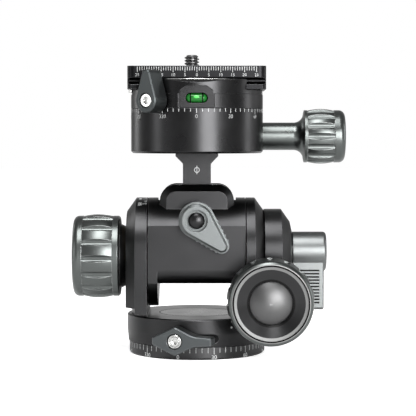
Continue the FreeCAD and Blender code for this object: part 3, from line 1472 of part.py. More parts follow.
def make_pan_drive():
    """Worm wheel on the clamp's spindle, its retainer, and the worm along X behind it."""
    code_part("pan_worm_wheel",
              wheel_shape(int(number("pan_teeth")), number("pan_module"), number("pan_wheel_width"),
                          number("pan_spindle_radius"), number("pan_worm_radius"), int(number("pan_teeth"))),
              "0", "0", "pan_drive_height", spun(UPRIGHT, 90))
    code_part("pan_worm",
              worm_shape(number("pan_module"), number("pan_worm_radius"), -number("pan_worm_tail"),
                         number("pan_head_start"), number("worm_shaft_radius")),
              "0", PAN_CENTRES, "pan_drive_height", spun(RIGHT, 90))
    group_part("pan_worm_bush", bush_shapes(["pan_well_half"]), "0", PAN_CENTRES, "pan_drive_height", RIGHT)
    wheel_bottom = PAN_WHEEL_BOTTOM
    turned_part("pan_retainer", [
        ("0", plus(wheel_bottom, minus("pan_retainer_height"))),
        ("pan_retainer_radius", plus(wheel_bottom, minus("pan_retainer_height"))),
        ("pan_retainer_radius", wheel_bottom),
        ("wheel_screw_radius", wheel_bottom),
        ("wheel_screw_radius", plus(wheel_bottom, "pan_screw_length")),
        ("0", plus(wheel_bottom, "pan_screw_length")),
    ])


def make_pan_knob():
    """Small fluted knob in one piece with its long shank; its frame is on the worm's axis."""
    body = new_body("pan_knob")
    flute_high = plus("pan_flute_start", "pan_flute_length")
    crown_curve = dome_curve("pan_flute_length / 2", "pan_crown_rise")
    crown_centre = "pan_head_radius - knob_band_step + pan_crown_rise - %s" % crown_curve
    flare_end = "pan_head_radius - pan_head_bevel"
    flare_start = "pan_head_start - (%s - pan_shank_radius)" % flare_end
    turn(body, [
        ("worm_shaft_radius", "pan_shank_start"),
        ("pan_shank_radius", "pan_shank_start"),
        ("pan_shank_radius", flare_start),
        Arc(flare_end, "pan_head_start", flare_end, flare_start, False),
        ("pan_head_radius", "pan_head_start + pan_head_edge"),
        ("pan_head_radius", "pan_flute_start"),
        ("pan_head_radius - knob_band_step", "pan_flute_start"),
        Arc("pan_head_radius - knob_band_step", flute_high, crown_centre,
            plus("pan_flute_start", "pan_flute_length / 2")),
        ("pan_head_radius", flute_high),
        ("pan_head_radius", "pan_head_end - pan_face_round"),
        Arc("pan_head_radius - pan_face_round", "pan_head_end", "pan_head_radius - pan_face_round",
            "pan_head_end - pan_face_round"),
        ("0", "pan_head_end"),
        ("0", "pan_head_start"),
        ("worm_shaft_radius", "pan_head_start"),
    ])
    flute = cut(body, "XY_Plane", [Disc("pan_flute_floor + knob_flute_radius", "0", "knob_flute_radius")],
                "pan_flute_start", flute_high)
    around(body, flute, "knob_flute_count")
    place(body, "0", PAN_CENTRES, "pan_drive_height", RIGHT)


# ---------------------------------------------------------------------------
# Clamp on the pan unit.
# ---------------------------------------------------------------------------
def jaw_outline(side, floor):
    """Section of a jaw across Y: a dovetail tongue inside, a bevelled top outside."""
    gap = "jaw_seat_gap"
    lip = "%s * (plate_lip_half + %s)" % (side, gap)
    neck = "%s * (plate_neck_half + %s)" % (side, gap)
    mouth = "%s * (plate_half_width - jaw_mouth_inset)" % side
    outer = "%s * clamp_upper_radius" % side
    bevelled = "%s * (clamp_upper_radius - jaw_bevel * 2)" % side
    lip_top = "clamp_floor + plate_lip_height"
    return [
        (lip, floor),
        (lip, lip_top),
        (neck, plus(lip_top, "dovetail_slope")),
        (neck, plus(lip_top, "dovetail_slope", "dovetail_neck", minus("dovetail_drop"))),
        (mouth, "jaw_top"),
        (bevelled, "jaw_top"),
        (outer, "jaw_top - jaw_bevel"),
        (outer, floor),
    ]


def make_clamp_base():
    """Upper pan disc with the fixed front jaw, the spindle and the level's pocket."""
    body = new_body("clamp_base")
    bottom = "pan_top + jaw_seat_gap"
    wheel_bottom = PAN_WHEEL_BOTTOM
    turn(body, [
        ("0", plus(wheel_bottom, "pan_screw_length")),
        ("wheel_screw_radius", plus(wheel_bottom, "pan_screw_length")),
        ("wheel_screw_radius", wheel_bottom),
        ("pan_spindle_radius", wheel_bottom),
        ("pan_spindle_radius", bottom),
        ("pan_radius", bottom),
        ("pan_radius", "clamp_step"),
        ("clamp_upper_radius", "clamp_step"),
        ("clamp_upper_radius", "clamp_floor"),
        ("0", "clamp_floor"),
    ])
    add(body, "YZ_Plane", [jaw_outline("-1", "clamp_floor")], minus("jaw_half_length"), "jaw_half_length")
    corner = "clamp_upper_radius + cut_margin"
    square = box(minus(corner), minus(corner), corner, corner)
    cut(body, "XY_Plane", [square, Disc("0", "0", "clamp_upper_radius")], "clamp_floor",
        "jaw_top + cut_margin")
    cut(body, "XY_Plane", [box(minus(corner), "rear_jaw_split", corner, corner)],
        "rear_jaw_bottom - jaw_seat_gap", "clamp_floor")
    cut(body, "XZ_Plane", [[
        ("level_flat_half", bottom),
        ("level_flat_half", "level_shoulder"),
        ("level_arch_half", "level_flat_top"),
        (minus("level_arch_half"), "level_flat_top"),
        (minus("level_flat_half"), "level_shoulder"),
        (minus("level_flat_half"), bottom),
    ]], minus("pan_radius + cut_margin"), minus("level_flat_depth"))
    cut(body, "XZ_Plane", [stadium("level_half", "level_radius", "level_height")], minus("level_flat_depth"),
        "level_depth - level_flat_depth")
    mill(body, "clamp_azimuth", Disc("0", "clamp_lever_height", plus("clamp_shaft_radius", "shaft_gap")),
         "clamp_shaft_depth", "pan_radius + cut_margin")
    for side in ("1", "-1"):
        bore = Disc("%s * guide_pin_spread" % side, "guide_pin_height", "guide_pin_radius + shaft_gap")
        cut(body, "XZ_Plane", [bore], "rear_jaw_split - guide_pin_depth", "rear_jaw_split")
    place(body, "0", "0", "0")


def stadium(half, radius, height):
    """Outline of a slot with round ends."""
    straight = "%s - %s" % (half, radius)
    low = plus(height, minus(radius))
    high = plus(height, radius)
    return [
        (straight, low),
        Arc(straight, high, straight, height),
        (minus(straight), high),
        Arc(minus(straight), low, minus(straight), height),
    ]


def make_level_vial():
    """Bubble level in the clamp's front pocket."""
    body = new_body("level_vial")
    add(body, "XZ_Plane", [stadium("level_half - shaft_gap", "level_radius - shaft_gap", "level_height")],
        minus("level_flat_depth"), "level_depth - level_flat_depth")
    place(body, "0", "0", "0")


def make_clamp_lever():
    """Short upright lever with the cam shaft that moves the rear jaw."""
    body = new_body("clamp_lever")
    low = plus("pan_radius", "turn_gap")
    high = plus(low, "clamp_lever_thickness")
    add(body, "XY_Plane", [tapered_outline("clamp_lever_hub", "clamp_lever_tip_radius", "clamp_lever_reach")],
        low, high)
    bevel(body, lambda edge: abs(edge.BoundBox.ZMin - number(high)) < NEAR, "clamp_lever_bevel")
    cut(body, "XY_Plane", [Disc("0", "0", "clamp_shaft_radius")], low, high)
    cut(body, "XY_Plane", [Disc("0", "0", "clamp_screw_radius")],
        plus(high, minus("clamp_screw_height")), high)
    place(body, "0", "0", "clamp_lever_height", spun(swung("clamp_azimuth"), 90))


def make_clamp_shaft():
    """Cam shaft of the clamp, in one with its bright socket head."""
    high = plus("pan_radius", "turn_gap", "clamp_lever_thickness")
    turned_part("clamp_shaft", [
        ("0", "clamp_shaft_depth + turn_gap"),
        ("clamp_shaft_radius", "clamp_shaft_depth + turn_gap"),
        ("clamp_shaft_radius", plus(high, minus("clamp_screw_height"))),
        ("clamp_screw_radius - shaft_gap", plus(high, minus("clamp_screw_height"))),
        ("clamp_screw_radius - shaft_gap", plus(high, minus("clamp_screw_sink"))),
        ("0", plus(high, minus("clamp_screw_sink"))),
    ], z="clamp_lever_height", rotation=swung("clamp_azimuth"))


def make_rear_jaw():
    """Moving jaw at the back, with its bores for the guide pins."""
    body = new_body("rear_jaw")
    low = "rear_jaw_bottom"
    near = "rear_jaw_split + jaw_seat_gap"
    outer = "clamp_upper_radius"
    add(body, "YZ_Plane", [box(near, low, outer, "clamp_floor")], minus("jaw_half_length"), "jaw_half_length")
    add(body, "YZ_Plane", [jaw_outline("1", "clamp_floor")], minus("jaw_half_length"), "jaw_half_length")
    corner = "clamp_upper_radius + cut_margin"
    square = box(minus(corner), minus(corner), corner, corner)
    cut(body, "XY_Plane", [square, Disc("0", "0", outer)], low, "jaw_top + cut_margin")
    place(body, "0", "0", "0")


def make_guide_pins():
    """Two pins fixed in the rear jaw that slide in the clamp base."""
    pins = []
    start = number("rear_jaw_split - guide_pin_depth + jaw_travel")
    length = number("guide_pin_depth - jaw_travel + jaw_seat_gap")
    for side in (-1, 1):
        spot = Vector(side * number("guide_pin_spread"), start, number("guide_pin_height"))
        pins.append(Part.makeCylinder(number("guide_pin_radius"), length, spot, Vector(0, 1, 0)))
    group_part("jaw_guide_pins", pins)


# ---------------------------------------------------------------------------
# Quick-release plate.
# ---------------------------------------------------------------------------
def make_plate():
    """Dovetail plate with a slot for the camera screw."""
    body = new_body("quick_release_plate")
    lip_top = "clamp_floor + plate_gap + plate_lip_height"
    flange = "plate_top - plate_flange"
    slope_low = plus(lip_top, minus("dovetail_drop"))
    slope_high = plus(slope_low, "dovetail_slope")
    neck_high = plus(slope_high, "dovetail_neck")
    add(body, "YZ_Plane", [[
        ("plate_lip_half", "clamp_floor + plate_gap"),
        ("plate_lip_half", slope_low),
        ("plate_neck_half", slope_high),
        ("plate_neck_half", neck_high),
        ("plate_half_width - plate_flange_inset", flange),
        ("plate_half_width", flange),
        ("plate_half_width", "plate_top"),
        (minus("plate_half_width"), "plate_top"),
        (minus("plate_half_width"), flange),
        (minus("plate_half_width - plate_flange_inset"), flange),
        (minus("plate_neck_half"), neck_high),
        (minus("plate_neck_half"), slope_high),
        (minus("plate_lip_half"), slope_low),
        (minus("plate_lip_half"), "clamp_floor + plate_gap"),
    ]], minus("plate_half_length"), "plate_half_length")
    soften(body, plate_corner, "plate_corner")
    thread = "camera_thread_radius + shaft_gap"
    cut(body, "XY_Plane", [slot(thread)], "clamp_floor", "plate_top")
    cut(body, "XY_Plane", [slot("camera_head_radius + turn_gap")], "clamp_floor",
        "clamp_floor + plate_gap + camera_head_seat")
    for x, y in STOP_CORNERS:
        hole = Disc("%s * plate_stop_reach" % x, "%s * plate_stop_spread" % y, "plate_stop_radius")
        cut(body, "XY_Plane", [hole], "clamp_floor", "clamp_floor + plate_gap + plate_stop_depth")
    place(body, "0", "0", "0")


def plate_corner(edge):
    """Whether an edge is one of the flange's four upright corners."""
    bounds = edge.BoundBox
    upright = bounds.ZMax - bounds.ZMin > number("plate_flange") - NEAR
    return upright and bounds.XMax - bounds.XMin < NEAR and bounds.YMax - bounds.YMin < NEAR


def slot(radius):
    """Outline of the plate's slot along X with a given half-width."""
    reach = "plate_slot_half"
    return [
        (reach, minus(radius)),
        Arc(reach, radius, reach, "0"),
        (minus(reach), radius),
        Arc(minus(reach), minus(radius), minus(reach), "0"),
    ]


def make_plate_stops():
    """Stop screws under the plate's corners that end its slide at the clamp's edge."""
    pins = []
    low = number("clamp_floor + plate_gap - plate_stop_drop")
    length = number("plate_stop_drop + plate_stop_depth")
    for x, y in STOP_CORNERS:
        spot = Vector(x * number("plate_stop_reach"), y * number("plate_stop_spread"), low)
        pins.append(Part.makeCylinder(number("plate_stop_radius"), length, spot))
    group_part("plate_stop_screws", pins)


def make_camera_screw():
    """Captive camera screw: thread above the plate, thin neck in the slot, flat head in its recess."""
    head_top = "clamp_floor + plate_gap + camera_head_seat"
    turned_part("camera_screw", [
        ("0", plus(head_top, minus("camera_head_height"))),
        ("camera_head_radius", plus(head_top, minus("camera_head_height"))),
        ("camera_head_radius", head_top),
        ("camera_neck_radius", head_top),
        ("camera_neck_radius", "plate_top + camera_thread_start"),
        ("camera_thread_radius", "plate_top + camera_thread_start"),
        ("camera_thread_radius", "plate_top + camera_thread_height - camera_thread_bevel"),
        ("camera_thread_radius - camera_thread_bevel", "plate_top + camera_thread_height"),
        ("0", "plate_top + camera_thread_height"),
    ], x="camera_screw_offset")


# ---------------------------------------------------------------------------
# Build, check and write.
# ---------------------------------------------------------------------------
def build():
    """Make every sub-part."""
    make_base_disc()
    make_base_hub()
    make_thread_insert()
    make_spindle_collar()
    make_collar_screws()
    make_yoke_frame()
    make_platform_cap()
    make_pan_friction_ring()
    make_ear_bushes()
    make_gear_housing()
    make_housing_screws()
    make_tilt_worm_bushes()
    make_lock_lever()
    make_lock_stud()
    make_lock_pad()
    make_tilt_gear()
    make_tilt_knob()
    make_roll_knob()
    make_tilt_housing()
    make_trunnions()
    make_trunnion_cone()
    make_roll_worm()
    make_roll_worm_bushes()
    make_roll_pin()
    make_tilt_clutch_lever()
    make_tilt_clutch_shaft()
    make_roll_clutch_lever()
    make_roll_clutch_cap()
    make_roll_arm()
    make_sector_gear()
    make_pan_housing()
    make_pan_floor()
    make_pan_floor_screws()
    make_pan_drive()
    make_pan_knob()
    make_clamp_base()
    make_level_vial()
    make_clamp_lever()
    make_clamp_shaft()
    make_rear_jaw()
    make_guide_pins()
    make_plate()
    make_plate_stops()
    make_camera_screw()


def check():
    """Stop if any object failed or any sub-part is not a valid shape."""
    doc.recompute()
    for item in doc.Objects:
        if "Invalid" in item.State or "Error" in item.State:
            raise RuntimeError("%s failed: %s" % (item.Label, item.State))
    for item in PARTS:
        if item.Shape.isNull() or not item.Shape.isValid():
            raise RuntimeError("%s has no valid shape" % item.Label)


def write():
    """Write each sub-part to parts/NODE.step."""
    os.makedirs("parts", exist_ok=True)
    for item in PARTS:
        item.Shape.exportStep("parts/%s.step" % item.Label)


build()
check()
write()
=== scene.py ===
"""Looks of the geared tripod head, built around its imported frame.

The frame's axes are the part's own: +Z up, +X to the right and -Y to the front, where the
tilt knob and the level are. Sizes are written in millimetres and multiplied by MM.
"""
from __future__ import annotations

import logging
import math
from collections.abc import Callable, Iterable
from dataclasses import dataclass, field
from enum import Enum

import bpy
from mathutils import Matrix, Vector

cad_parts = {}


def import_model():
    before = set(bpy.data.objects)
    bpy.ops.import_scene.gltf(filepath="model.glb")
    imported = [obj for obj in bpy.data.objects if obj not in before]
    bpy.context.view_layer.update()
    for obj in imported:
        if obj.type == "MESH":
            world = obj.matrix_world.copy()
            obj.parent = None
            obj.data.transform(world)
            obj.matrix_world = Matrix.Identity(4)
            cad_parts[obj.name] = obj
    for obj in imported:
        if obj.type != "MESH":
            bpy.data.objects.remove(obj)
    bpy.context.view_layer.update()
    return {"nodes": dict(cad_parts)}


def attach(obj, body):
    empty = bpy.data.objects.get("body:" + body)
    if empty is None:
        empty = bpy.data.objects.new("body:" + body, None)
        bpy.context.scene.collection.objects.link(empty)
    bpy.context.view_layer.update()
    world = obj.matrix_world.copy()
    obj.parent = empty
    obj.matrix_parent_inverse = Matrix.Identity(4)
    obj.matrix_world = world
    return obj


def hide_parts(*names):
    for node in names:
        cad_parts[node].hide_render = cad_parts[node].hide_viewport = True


LOG = logging.getLogger("tripod_head")
MM = 0.001
NUMBER = "NodeSocketFloat"
VECTOR = "NodeSocketVector"

Colour = tuple[float, float, float]
Section = list[tuple[float, float]]
Profile = Callable[[float], Section]
Piece = bpy.types.Object
Mesh = bpy.types.Mesh
Material = bpy.types.Material
Node = bpy.types.Node
Socket = bpy.types.NodeSocket
Tree = bpy.types.NodeTree


# Node trees
# The bump's height in millimetres, the fine grain's share of the tone, the rays and the cosines that find an
# edge, the tones between which a plain finish changes colour, and the roughness of a clear coat.
BUMP_DISTANCE = 0.02
FINE_SHARE = 0.6
EDGE_SAMPLES = 6
EDGE_COSINES = (0.995, 0.9)
UNEVEN = (0.35, 0.65)
COAT_ROUGHNESS = 0.05


class Graph:
    """A node tree with short calls for adding and joining nodes."""

    def __init__(self, tree: Tree) -> None:
        """Keep the shader or geometry node tree that the calls work on."""
        self.tree = tree

    def add(self, kind: str, settings: dict | None = None, **inputs: object) -> Node:
        """Add a node.

        Args:
            kind: The node's type.
            settings: Properties to set before the inputs.
            inputs: Values or sockets for the inputs of these names; underscores stand for spaces.

        Returns:
            The new node.
        """
        node = self.tree.nodes.new(kind)
        for name, value in (settings or {}).items():
            setattr(node, name, value)
        self.fill(node, **inputs)
        return node

    def fill(self, node: Node, **inputs: object) -> None:
        """Set or link a node's inputs of these names, in which underscores stand for spaces."""
        for name, value in inputs.items():
            self.feed(node.inputs[name.replace("_", " ")], value)

    def feed(self, socket: Socket, value: object) -> None:
        """Link a socket to an input, or set the input's value.

        Args:
            socket: The input.
            value: An output socket or a plain value.
        """
        if isinstance(value, Socket):
            self.tree.links.new(value, socket)
        else:
            socket.default_value = value

    def math(self, operation: str, first: object, second: object = 0.0) -> Socket:
        """Add a math node.

        Args:
            operation: The operation's name.
            first: First number or socket.
            second: Second number or socket.

        Returns:
            The result's socket.
        """
        node = self.add("ShaderNodeMath", {"operation": operation})
        self.feed(node.inputs[0], first)
        self.feed(node.inputs[1], second)
        return node.outputs[0]

    def vector(self, operation: str, first: object, second: object = (0.0, 0.0, 0.0)) -> Socket:
        """Add a vector math node.

        Args:
            operation: The operation's name.
            first: First vector or socket.
            second: Second vector or socket.

        Returns:
            The result's socket: a number for a dot product or a length.
        """
        node = self.add("ShaderNodeVectorMath", {"operation": operation})
        self.feed(node.inputs[0], first)
        self.feed(node.inputs[1], second)
        return node.outputs["Value" if operation in ("DOT_PRODUCT", "LENGTH") else "Vector"]

    def between(self, value: object, low: float, high: float) -> Socket:
        """Mask that is 1 where a number lies between two limits."""
        return self.math("MULTIPLY", self.math("GREATER_THAN", value, low),
                         self.math("LESS_THAN", value, high))

    def span(self, value: object, low: object, high: object, start: object = 0.0,
             end: object = 1.0) -> Socket:
        """Add a clamped map range node, which gives start at low and end at high."""
        return self.add("ShaderNodeMapRange", Value=value, From_Min=low, From_Max=high, To_Min=start,
                        To_Max=end).outputs["Result"]

    def blend(self, share: object, first: object, second: object) -> Socket:
        """Add a colour mix.

        Args:
            share: How much of the second colour shows.
            first: First colour or socket.
            second: Second colour or socket.

        Returns:
            The colour's socket.
        """
        node = self.add("ShaderNodeMix", {"data_type": "RGBA"})
        self.feed(node.inputs["Factor"], share)
        for socket, value in ((node.inputs[6], first), (node.inputs[7], second)):
            self.feed(socket, (*value, 1.0) if isinstance(value, tuple) else value)
        return node.outputs[2]

    def bump(self, strength: float, height: Socket, normal: Socket) -> Socket:
        """Add a fine bump to a normal."""
        return self.add("ShaderNodeBump", Strength=strength, Distance=BUMP_DISTANCE * MM, Height=height,
                        Normal=normal).outputs[0]

    def by_ray(self, camera: float, gloss: object, rest: float) -> Socket:
        """Choose a number by the kind of ray.

        Args:
            camera: For what the camera sees.
            gloss: For reflections and for what is seen through a piece.
            rest: For all other light.

        Returns:
            The number's socket.
        """
        path = self.add("ShaderNodeLightPath").outputs
        mirror = self.math("MAXIMUM", path["Is Glossy Ray"], path["Is Transmission Ray"])
        return self.span(path["Is Camera Ray"], 0.0, 1.0, self.span(mirror, 0.0, 1.0, rest, gloss), camera)


def shader_group(name: str, inputs: dict[str, object],
                 outputs: dict[str, str]) -> tuple[Graph, object, Node]:
    """Start a shader node group with named inputs and outputs.

    Args:
        name: The group's name.
        inputs: Names of the inputs with their defaults, numbers or vectors.
        outputs: Names of the outputs with their socket types.

    Returns:
        The group's graph, its inputs' sockets and its output node.
    """
    tree = bpy.data.node_groups.new(name, "ShaderNodeTree")
    for label, value in inputs.items():
        kind = VECTOR if isinstance(value, tuple) else NUMBER
        tree.interface.new_socket(label, in_out="INPUT", socket_type=kind).default_value = value
    for label, kind in outputs.items():
        tree.interface.new_socket(label, in_out="OUTPUT", socket_type=kind)
    graph = Graph(tree)
    return graph, graph.add("NodeGroupInput").outputs, graph.add("NodeGroupOutput")


def satin_group() -> Tree:
    """Fine blasted grain of an anodised surface.

    Returns:
        The group: a tone, a roughness change and a height for the bump.
    """
    graph, given, result = shader_group(
        "satin_grain", {"Grain": 5000.0, "Cloud": 90.0}, {"Tone": NUMBER, "Gloss": NUMBER, "Height": NUMBER})
    place = graph.add("ShaderNodeTexCoord").outputs["Object"]
    fine = graph.add("ShaderNodeTexNoise", Vector=place, Scale=given["Grain"], Detail=2.0).outputs[0]
    broad = graph.add("ShaderNodeTexNoise", Vector=place, Scale=given["Cloud"], Detail=3.0).outputs[0]
    tone = graph.math("ADD", graph.math("MULTIPLY", fine, FINE_SHARE),
                      graph.math("MULTIPLY", broad, 1.0 - FINE_SHARE))
    graph.fill(result, Tone=tone, Gloss=graph.math("SUBTRACT", broad, 0.5), Height=fine)
    return graph.tree


def edge_group() -> Tree:
    """Rounded look of machined edges, and a mask where they are lightly worn and get a painted highlight.

    Returns:
        The group: a mask of the edges and a softened normal.
    """
    graph, given, result = shader_group(
        "machined_edges", {"Radius": 0.0003}, {"Edge": NUMBER, "Normal": VECTOR})
    soft = graph.add("ShaderNodeBevel", {"samples": EDGE_SAMPLES}, Radius=given["Radius"]).outputs[0]
    turn = graph.vector("DOT_PRODUCT", soft, graph.add("ShaderNodeNewGeometry").outputs["Normal"])
    graph.fill(result, Edge=graph.span(turn, *EDGE_COSINES), Normal=soft)
    return graph.tree


def lathe_group() -> Tree:
    """Fine turning marks round an axis, and the distance from that axis.

    Returns:
        The group: the distance from the axis and a height for the bump.
    """
    graph, given, result = shader_group(
        "turning_marks", {"Centre": (0.0, 0.0, 0.0), "Axis": (0.0, 0.0, 1.0), "Pitch": 9000.0},
        {"Distance": NUMBER, "Height": NUMBER})
    away = graph.vector("SUBTRACT", graph.add("ShaderNodeTexCoord").outputs["Object"], given["Centre"])
    distance = graph.vector("LENGTH", graph.vector("CROSS_PRODUCT", away, given["Axis"]))
    along = graph.vector("DOT_PRODUCT", away, given["Axis"])
    where = graph.add("ShaderNodeCombineXYZ", X=distance, Y=along).outputs[0]
    marks = graph.add("ShaderNodeTexNoise", Vector=where, Scale=given["Pitch"], Detail=1.0).outputs[0]
    graph.fill(result, Distance=distance, Height=marks)
    return graph.tree


def new_material(name: str) -> tuple[Material, Graph, Node]:
    """Start a material.

    Args:
        name: The material's name.

    Returns:
        The material, its graph and its shader.
    """
    material = bpy.data.materials.new(name)
    material.use_nodes = True
    graph = Graph(material.node_tree)
    return material, graph, graph.tree.nodes["Principled BSDF"]


# Finishes
class Axis(Enum):
    """Directions that turned pieces are turned about."""

    RIGHT = (1.0, 0.0, 0.0)
    FRONT = (0.0, 1.0, 0.0)
    UP = (0.0, 0.0, 1.0)


@dataclass(frozen=True)
class Turning:
    """The axis that a piece was turned about, and how deep its marks are.

    Attributes:
        centre: A point on the axis, in millimetres.
        axis: The axis's direction.
        depth: Strength of the marks in the bump.
    """

    centre: tuple[float, float, float] = (0.0, 0.0, 0.0)
    axis: Axis = Axis.UP
    depth: float = 0.05


@dataclass(frozen=True)
class Band:
    """A stretch of a turned piece, by distance from its axis, with another colour; some stretches are painted
    shade.

    Attributes:
        inner: Smaller distance, in millimetres.
        outer: Larger distance, in millimetres.
        colour: The stretch's colour.
        roughness: The stretch's roughness.
    """

    inner: float
    outer: float
    colour: Colour
    roughness: float


@dataclass(frozen=True)
class GrooveShade:
    """Painted shade on the groove floors of a ribbed grip.

    Attributes:
        across: X where the row starts and ends, in millimetres.
        depth: Y between which the floors lie.
        top: Z of the highest groove's upper wall.
        pitch: Distance from one groove to the next; half of it is groove.
        count: Number of groove floors.
        colour: Colour of the painted shade on the floors.
    """

    across: tuple[float, float]
    depth: tuple[float, float]
    top: float
    pitch: float
    count: int
    colour: Colour = (0.012, 0.012, 0.012)

    def mask(self, graph: Graph) -> Socket:
        """Where the painted shade goes: the groove floors.

        Args:
            graph: The material's graph.

        Returns:
            A socket that is 1 on the floors.
        """
        place = graph.add("ShaderNodeTexCoord").outputs["Object"]
        spot = graph.add("ShaderNodeSeparateXYZ", Vector=place).outputs
        fall = graph.math("SUBTRACT", self.top * MM, spot["Z"])
        phase = graph.math("FLOORED_MODULO", fall, self.pitch * MM)
        mask = graph.math("LESS_THAN", phase, self.pitch * MM / 2)
        for value, low, high in ((fall, 0.0, self.count * self.pitch), (spot["X"], *self.across),
                                 (spot["Y"], *self.depth)):
            mask = graph.math("MULTIPLY", mask, graph.between(value, low * MM, high * MM))
        return mask


@dataclass(frozen=True)
class Anodised:
    """Satin anodised or machined metal.

    Attributes:
        name: The material's name.
        colour: Colour of the dyed surface.
        roughness: Mean roughness.
        edge: Colour that edges show: lightly worn metal, and a painted highlight along the bevels.
        glint_and_wear: How much of the edge colour shows.
        grain: Strength of the blasted grain in the bump.
        swing: How far the roughness varies.
        tints: The factors between which the colour varies.
        edge_radius: Radius that edges seem to have, in millimetres.
        turning: Turning marks, if the piece was turned.
        bands: Stretches with another colour, from the outside in; some are painted shade.
        groove_shade: Painted shade on the groove floors of a ribbed grip, if the piece has one.
    """

    name: str
    colour: Colour
    roughness: float = 0.36
    edge: Colour = (0.3, 0.3, 0.31)
    glint_and_wear: float = 0.35
    grain: float = 0.12
    swing: float = 0.16
    tints: tuple[float, float] = (0.88, 1.14)
    edge_radius: float = 0.25
    turning: Turning | None = None
    bands: tuple[Band, ...] = ()
    groove_shade: GrooveShade | None = None

    def material(self, kit: FinishKit) -> Material:
        """Build the material.

        Args:
            kit: The shader node groups that finishes share.

        Returns:
            The new material.
        """
        material, graph, shader = new_material(self.name)
        grain = graph.add("ShaderNodeGroup", {"node_tree": kit.satin}).outputs
        edges = graph.add("ShaderNodeGroup", {"node_tree": kit.edges}, Radius=self.edge_radius * MM).outputs
        dark, light = (tuple(tint * value for value in self.colour) for tint in self.tints)
        colour = graph.blend(grain["Tone"], dark, light)
        # Edges lighten towards the edge colour: lightly worn metal, and a painted highlight along the bevels.
        colour = graph.blend(graph.math("MULTIPLY", edges["Edge"], self.glint_and_wear), colour, self.edge)
        roughness = graph.math("ADD", graph.math("MULTIPLY", grain["Gloss"], self.swing), self.roughness)
        normal = graph.bump(self.grain, grain["Height"], edges["Normal"])
        if self.turning is not None:
            centre = tuple(MM * value for value in self.turning.centre)
            marks = graph.add("ShaderNodeGroup", {"node_tree": kit.lathe}, Centre=centre,
                              Axis=self.turning.axis.value).outputs
            normal = graph.bump(self.turning.depth, marks["Height"], normal)
            for band in self.bands:
                mask = graph.between(marks["Distance"], band.inner * MM, band.outer * MM)
                colour = graph.blend(mask, colour, band.colour)
                roughness = graph.span(mask, 0.0, 1.0, roughness, band.roughness)
        # Painted shade on the groove floors of a ribbed grip.
        if self.groove_shade is not None:
            colour = graph.blend(self.groove_shade.mask(graph), colour, self.groove_shade.colour)
        graph.fill(shader, Metallic=1.0, Base_Color=colour, Roughness=roughness, Normal=normal)
        return material


@dataclass(frozen=True)
class Plain:
    """Paint, plastic or liquid with a slight unevenness.

    Attributes:
        name: The material's name.
        colour: Main colour.
        second: Colour that the unevenness leads to.
        roughness: Mean roughness.
        grain: Scale of the unevenness, in cycles per metre.
        swing: How far the roughness varies.
        coat: Weight of a clear coat.
        specular: How strongly the surface under the coat reflects.
    """

    name: str
    colour: Colour
    second: Colour
    roughness: float = 0.5
    grain: float = 900.0
    swing: float = 0.1
    coat: float = 0.0
    specular: float = 0.5

    def material(self, kit: FinishKit) -> Material:
        """Build the material.

        Args:
            kit: The shader node groups that finishes share.

        Returns:
            The new material.
        """
        material, graph, shader = new_material(self.name)
        grain = graph.add("ShaderNodeGroup", {"node_tree": kit.satin}, Cloud=self.grain).outputs
        colour = graph.blend(graph.span(grain["Tone"], *UNEVEN), self.colour, self.second)
        roughness = graph.math("ADD", graph.math("MULTIPLY", grain["Gloss"], self.swing), self.roughness)
        graph.fill(shader, Base_Color=colour, Roughness=roughness, Coat_Weight=self.coat,
                   Coat_Roughness=COAT_ROUGHNESS, Specular_IOR_Level=self.specular)
        return material


Finish = Anodised | Plain


class FinishKit:
    """The shared shader groups and the materials already made."""

    def __init__(self) -> None:
        """Build the shared shader groups."""
        self.satin = satin_group()
        self.edges = edge_group()
        self.lathe = lathe_group()
        self.made: dict[str, Material] = {}

    def material(self, finish: Finish) -> Material:
        """Give a finish's material, and build it the first time.

        Args:
            finish: The finish.

        Returns:
            The material.
        """
        if finish.name not in self.made:
            self.made[finish.name] = finish.material(self)
        return self.made[finish.name]

    def dress(self, piece: Piece, finish: Finish) -> None:
        """Give a piece or a frame's node one finish all over."""
        piece.data.materials.clear()
        piece.data.materials.append(self.material(finish))


BLACK = Anodised("black_anodised", (0.036, 0.036, 0.037), roughness=0.33)
BLACK_TURNED = Anodised("black_turned", (0.034, 0.034, 0.035), roughness=0.29, glint_and_wear=0.14, turning=Turning())
BLACK_BASE = Anodised("black_base", (0.05, 0.05, 0.051), roughness=0.33, turning=Turning())
BLACK_PLATE = Anodised("black_plate", (0.016, 0.016, 0.017), roughness=0.36)
LEVER_DARK = Anodised("dark_grey_lever", (0.06, 0.066, 0.067), roughness=0.45, glint_and_wear=0.3)
LOCK_GREY = Anodised("blue_grey_lever", (0.095, 0.103, 0.106), roughness=0.42, glint_and_wear=0.5)
LEVER_LIGHT = Anodised("light_grey_lever", (0.14, 0.149, 0.149), roughness=0.42)
STEEL = Anodised("turned_steel", (0.62, 0.62, 0.61), roughness=0.24, glint_and_wear=0.1)
SCREW_STEEL = Anodised("screw_steel", (0.17, 0.17, 0.17), roughness=0.36, glint_and_wear=0.1)
BRONZE = Anodised("machined_bronze", (0.5, 0.36, 0.17), roughness=0.35, edge=(0.7, 0.55, 0.3))
ACETAL = Plain("natural_acetal", (0.72, 0.71, 0.67), (0.66, 0.65, 0.61), roughness=0.45)
PRINT = Plain("white_print", (0.56, 0.57, 0.57), (0.46, 0.47, 0.47), roughness=0.6)
PRINT_SOFT = Plain("grey_print", (0.34, 0.345, 0.345), (0.28, 0.285, 0.285), roughness=0.6)
LIQUID = Plain("green_liquid", (0.008, 0.1, 0.014), (0.014, 0.15, 0.022), roughness=0.2, coat=0.25,
               specular=0.15)
BUBBLE = Plain("level_bubble", (0.05, 0.5, 0.06), (0.09, 0.62, 0.1), roughness=0.2, coat=0.5)
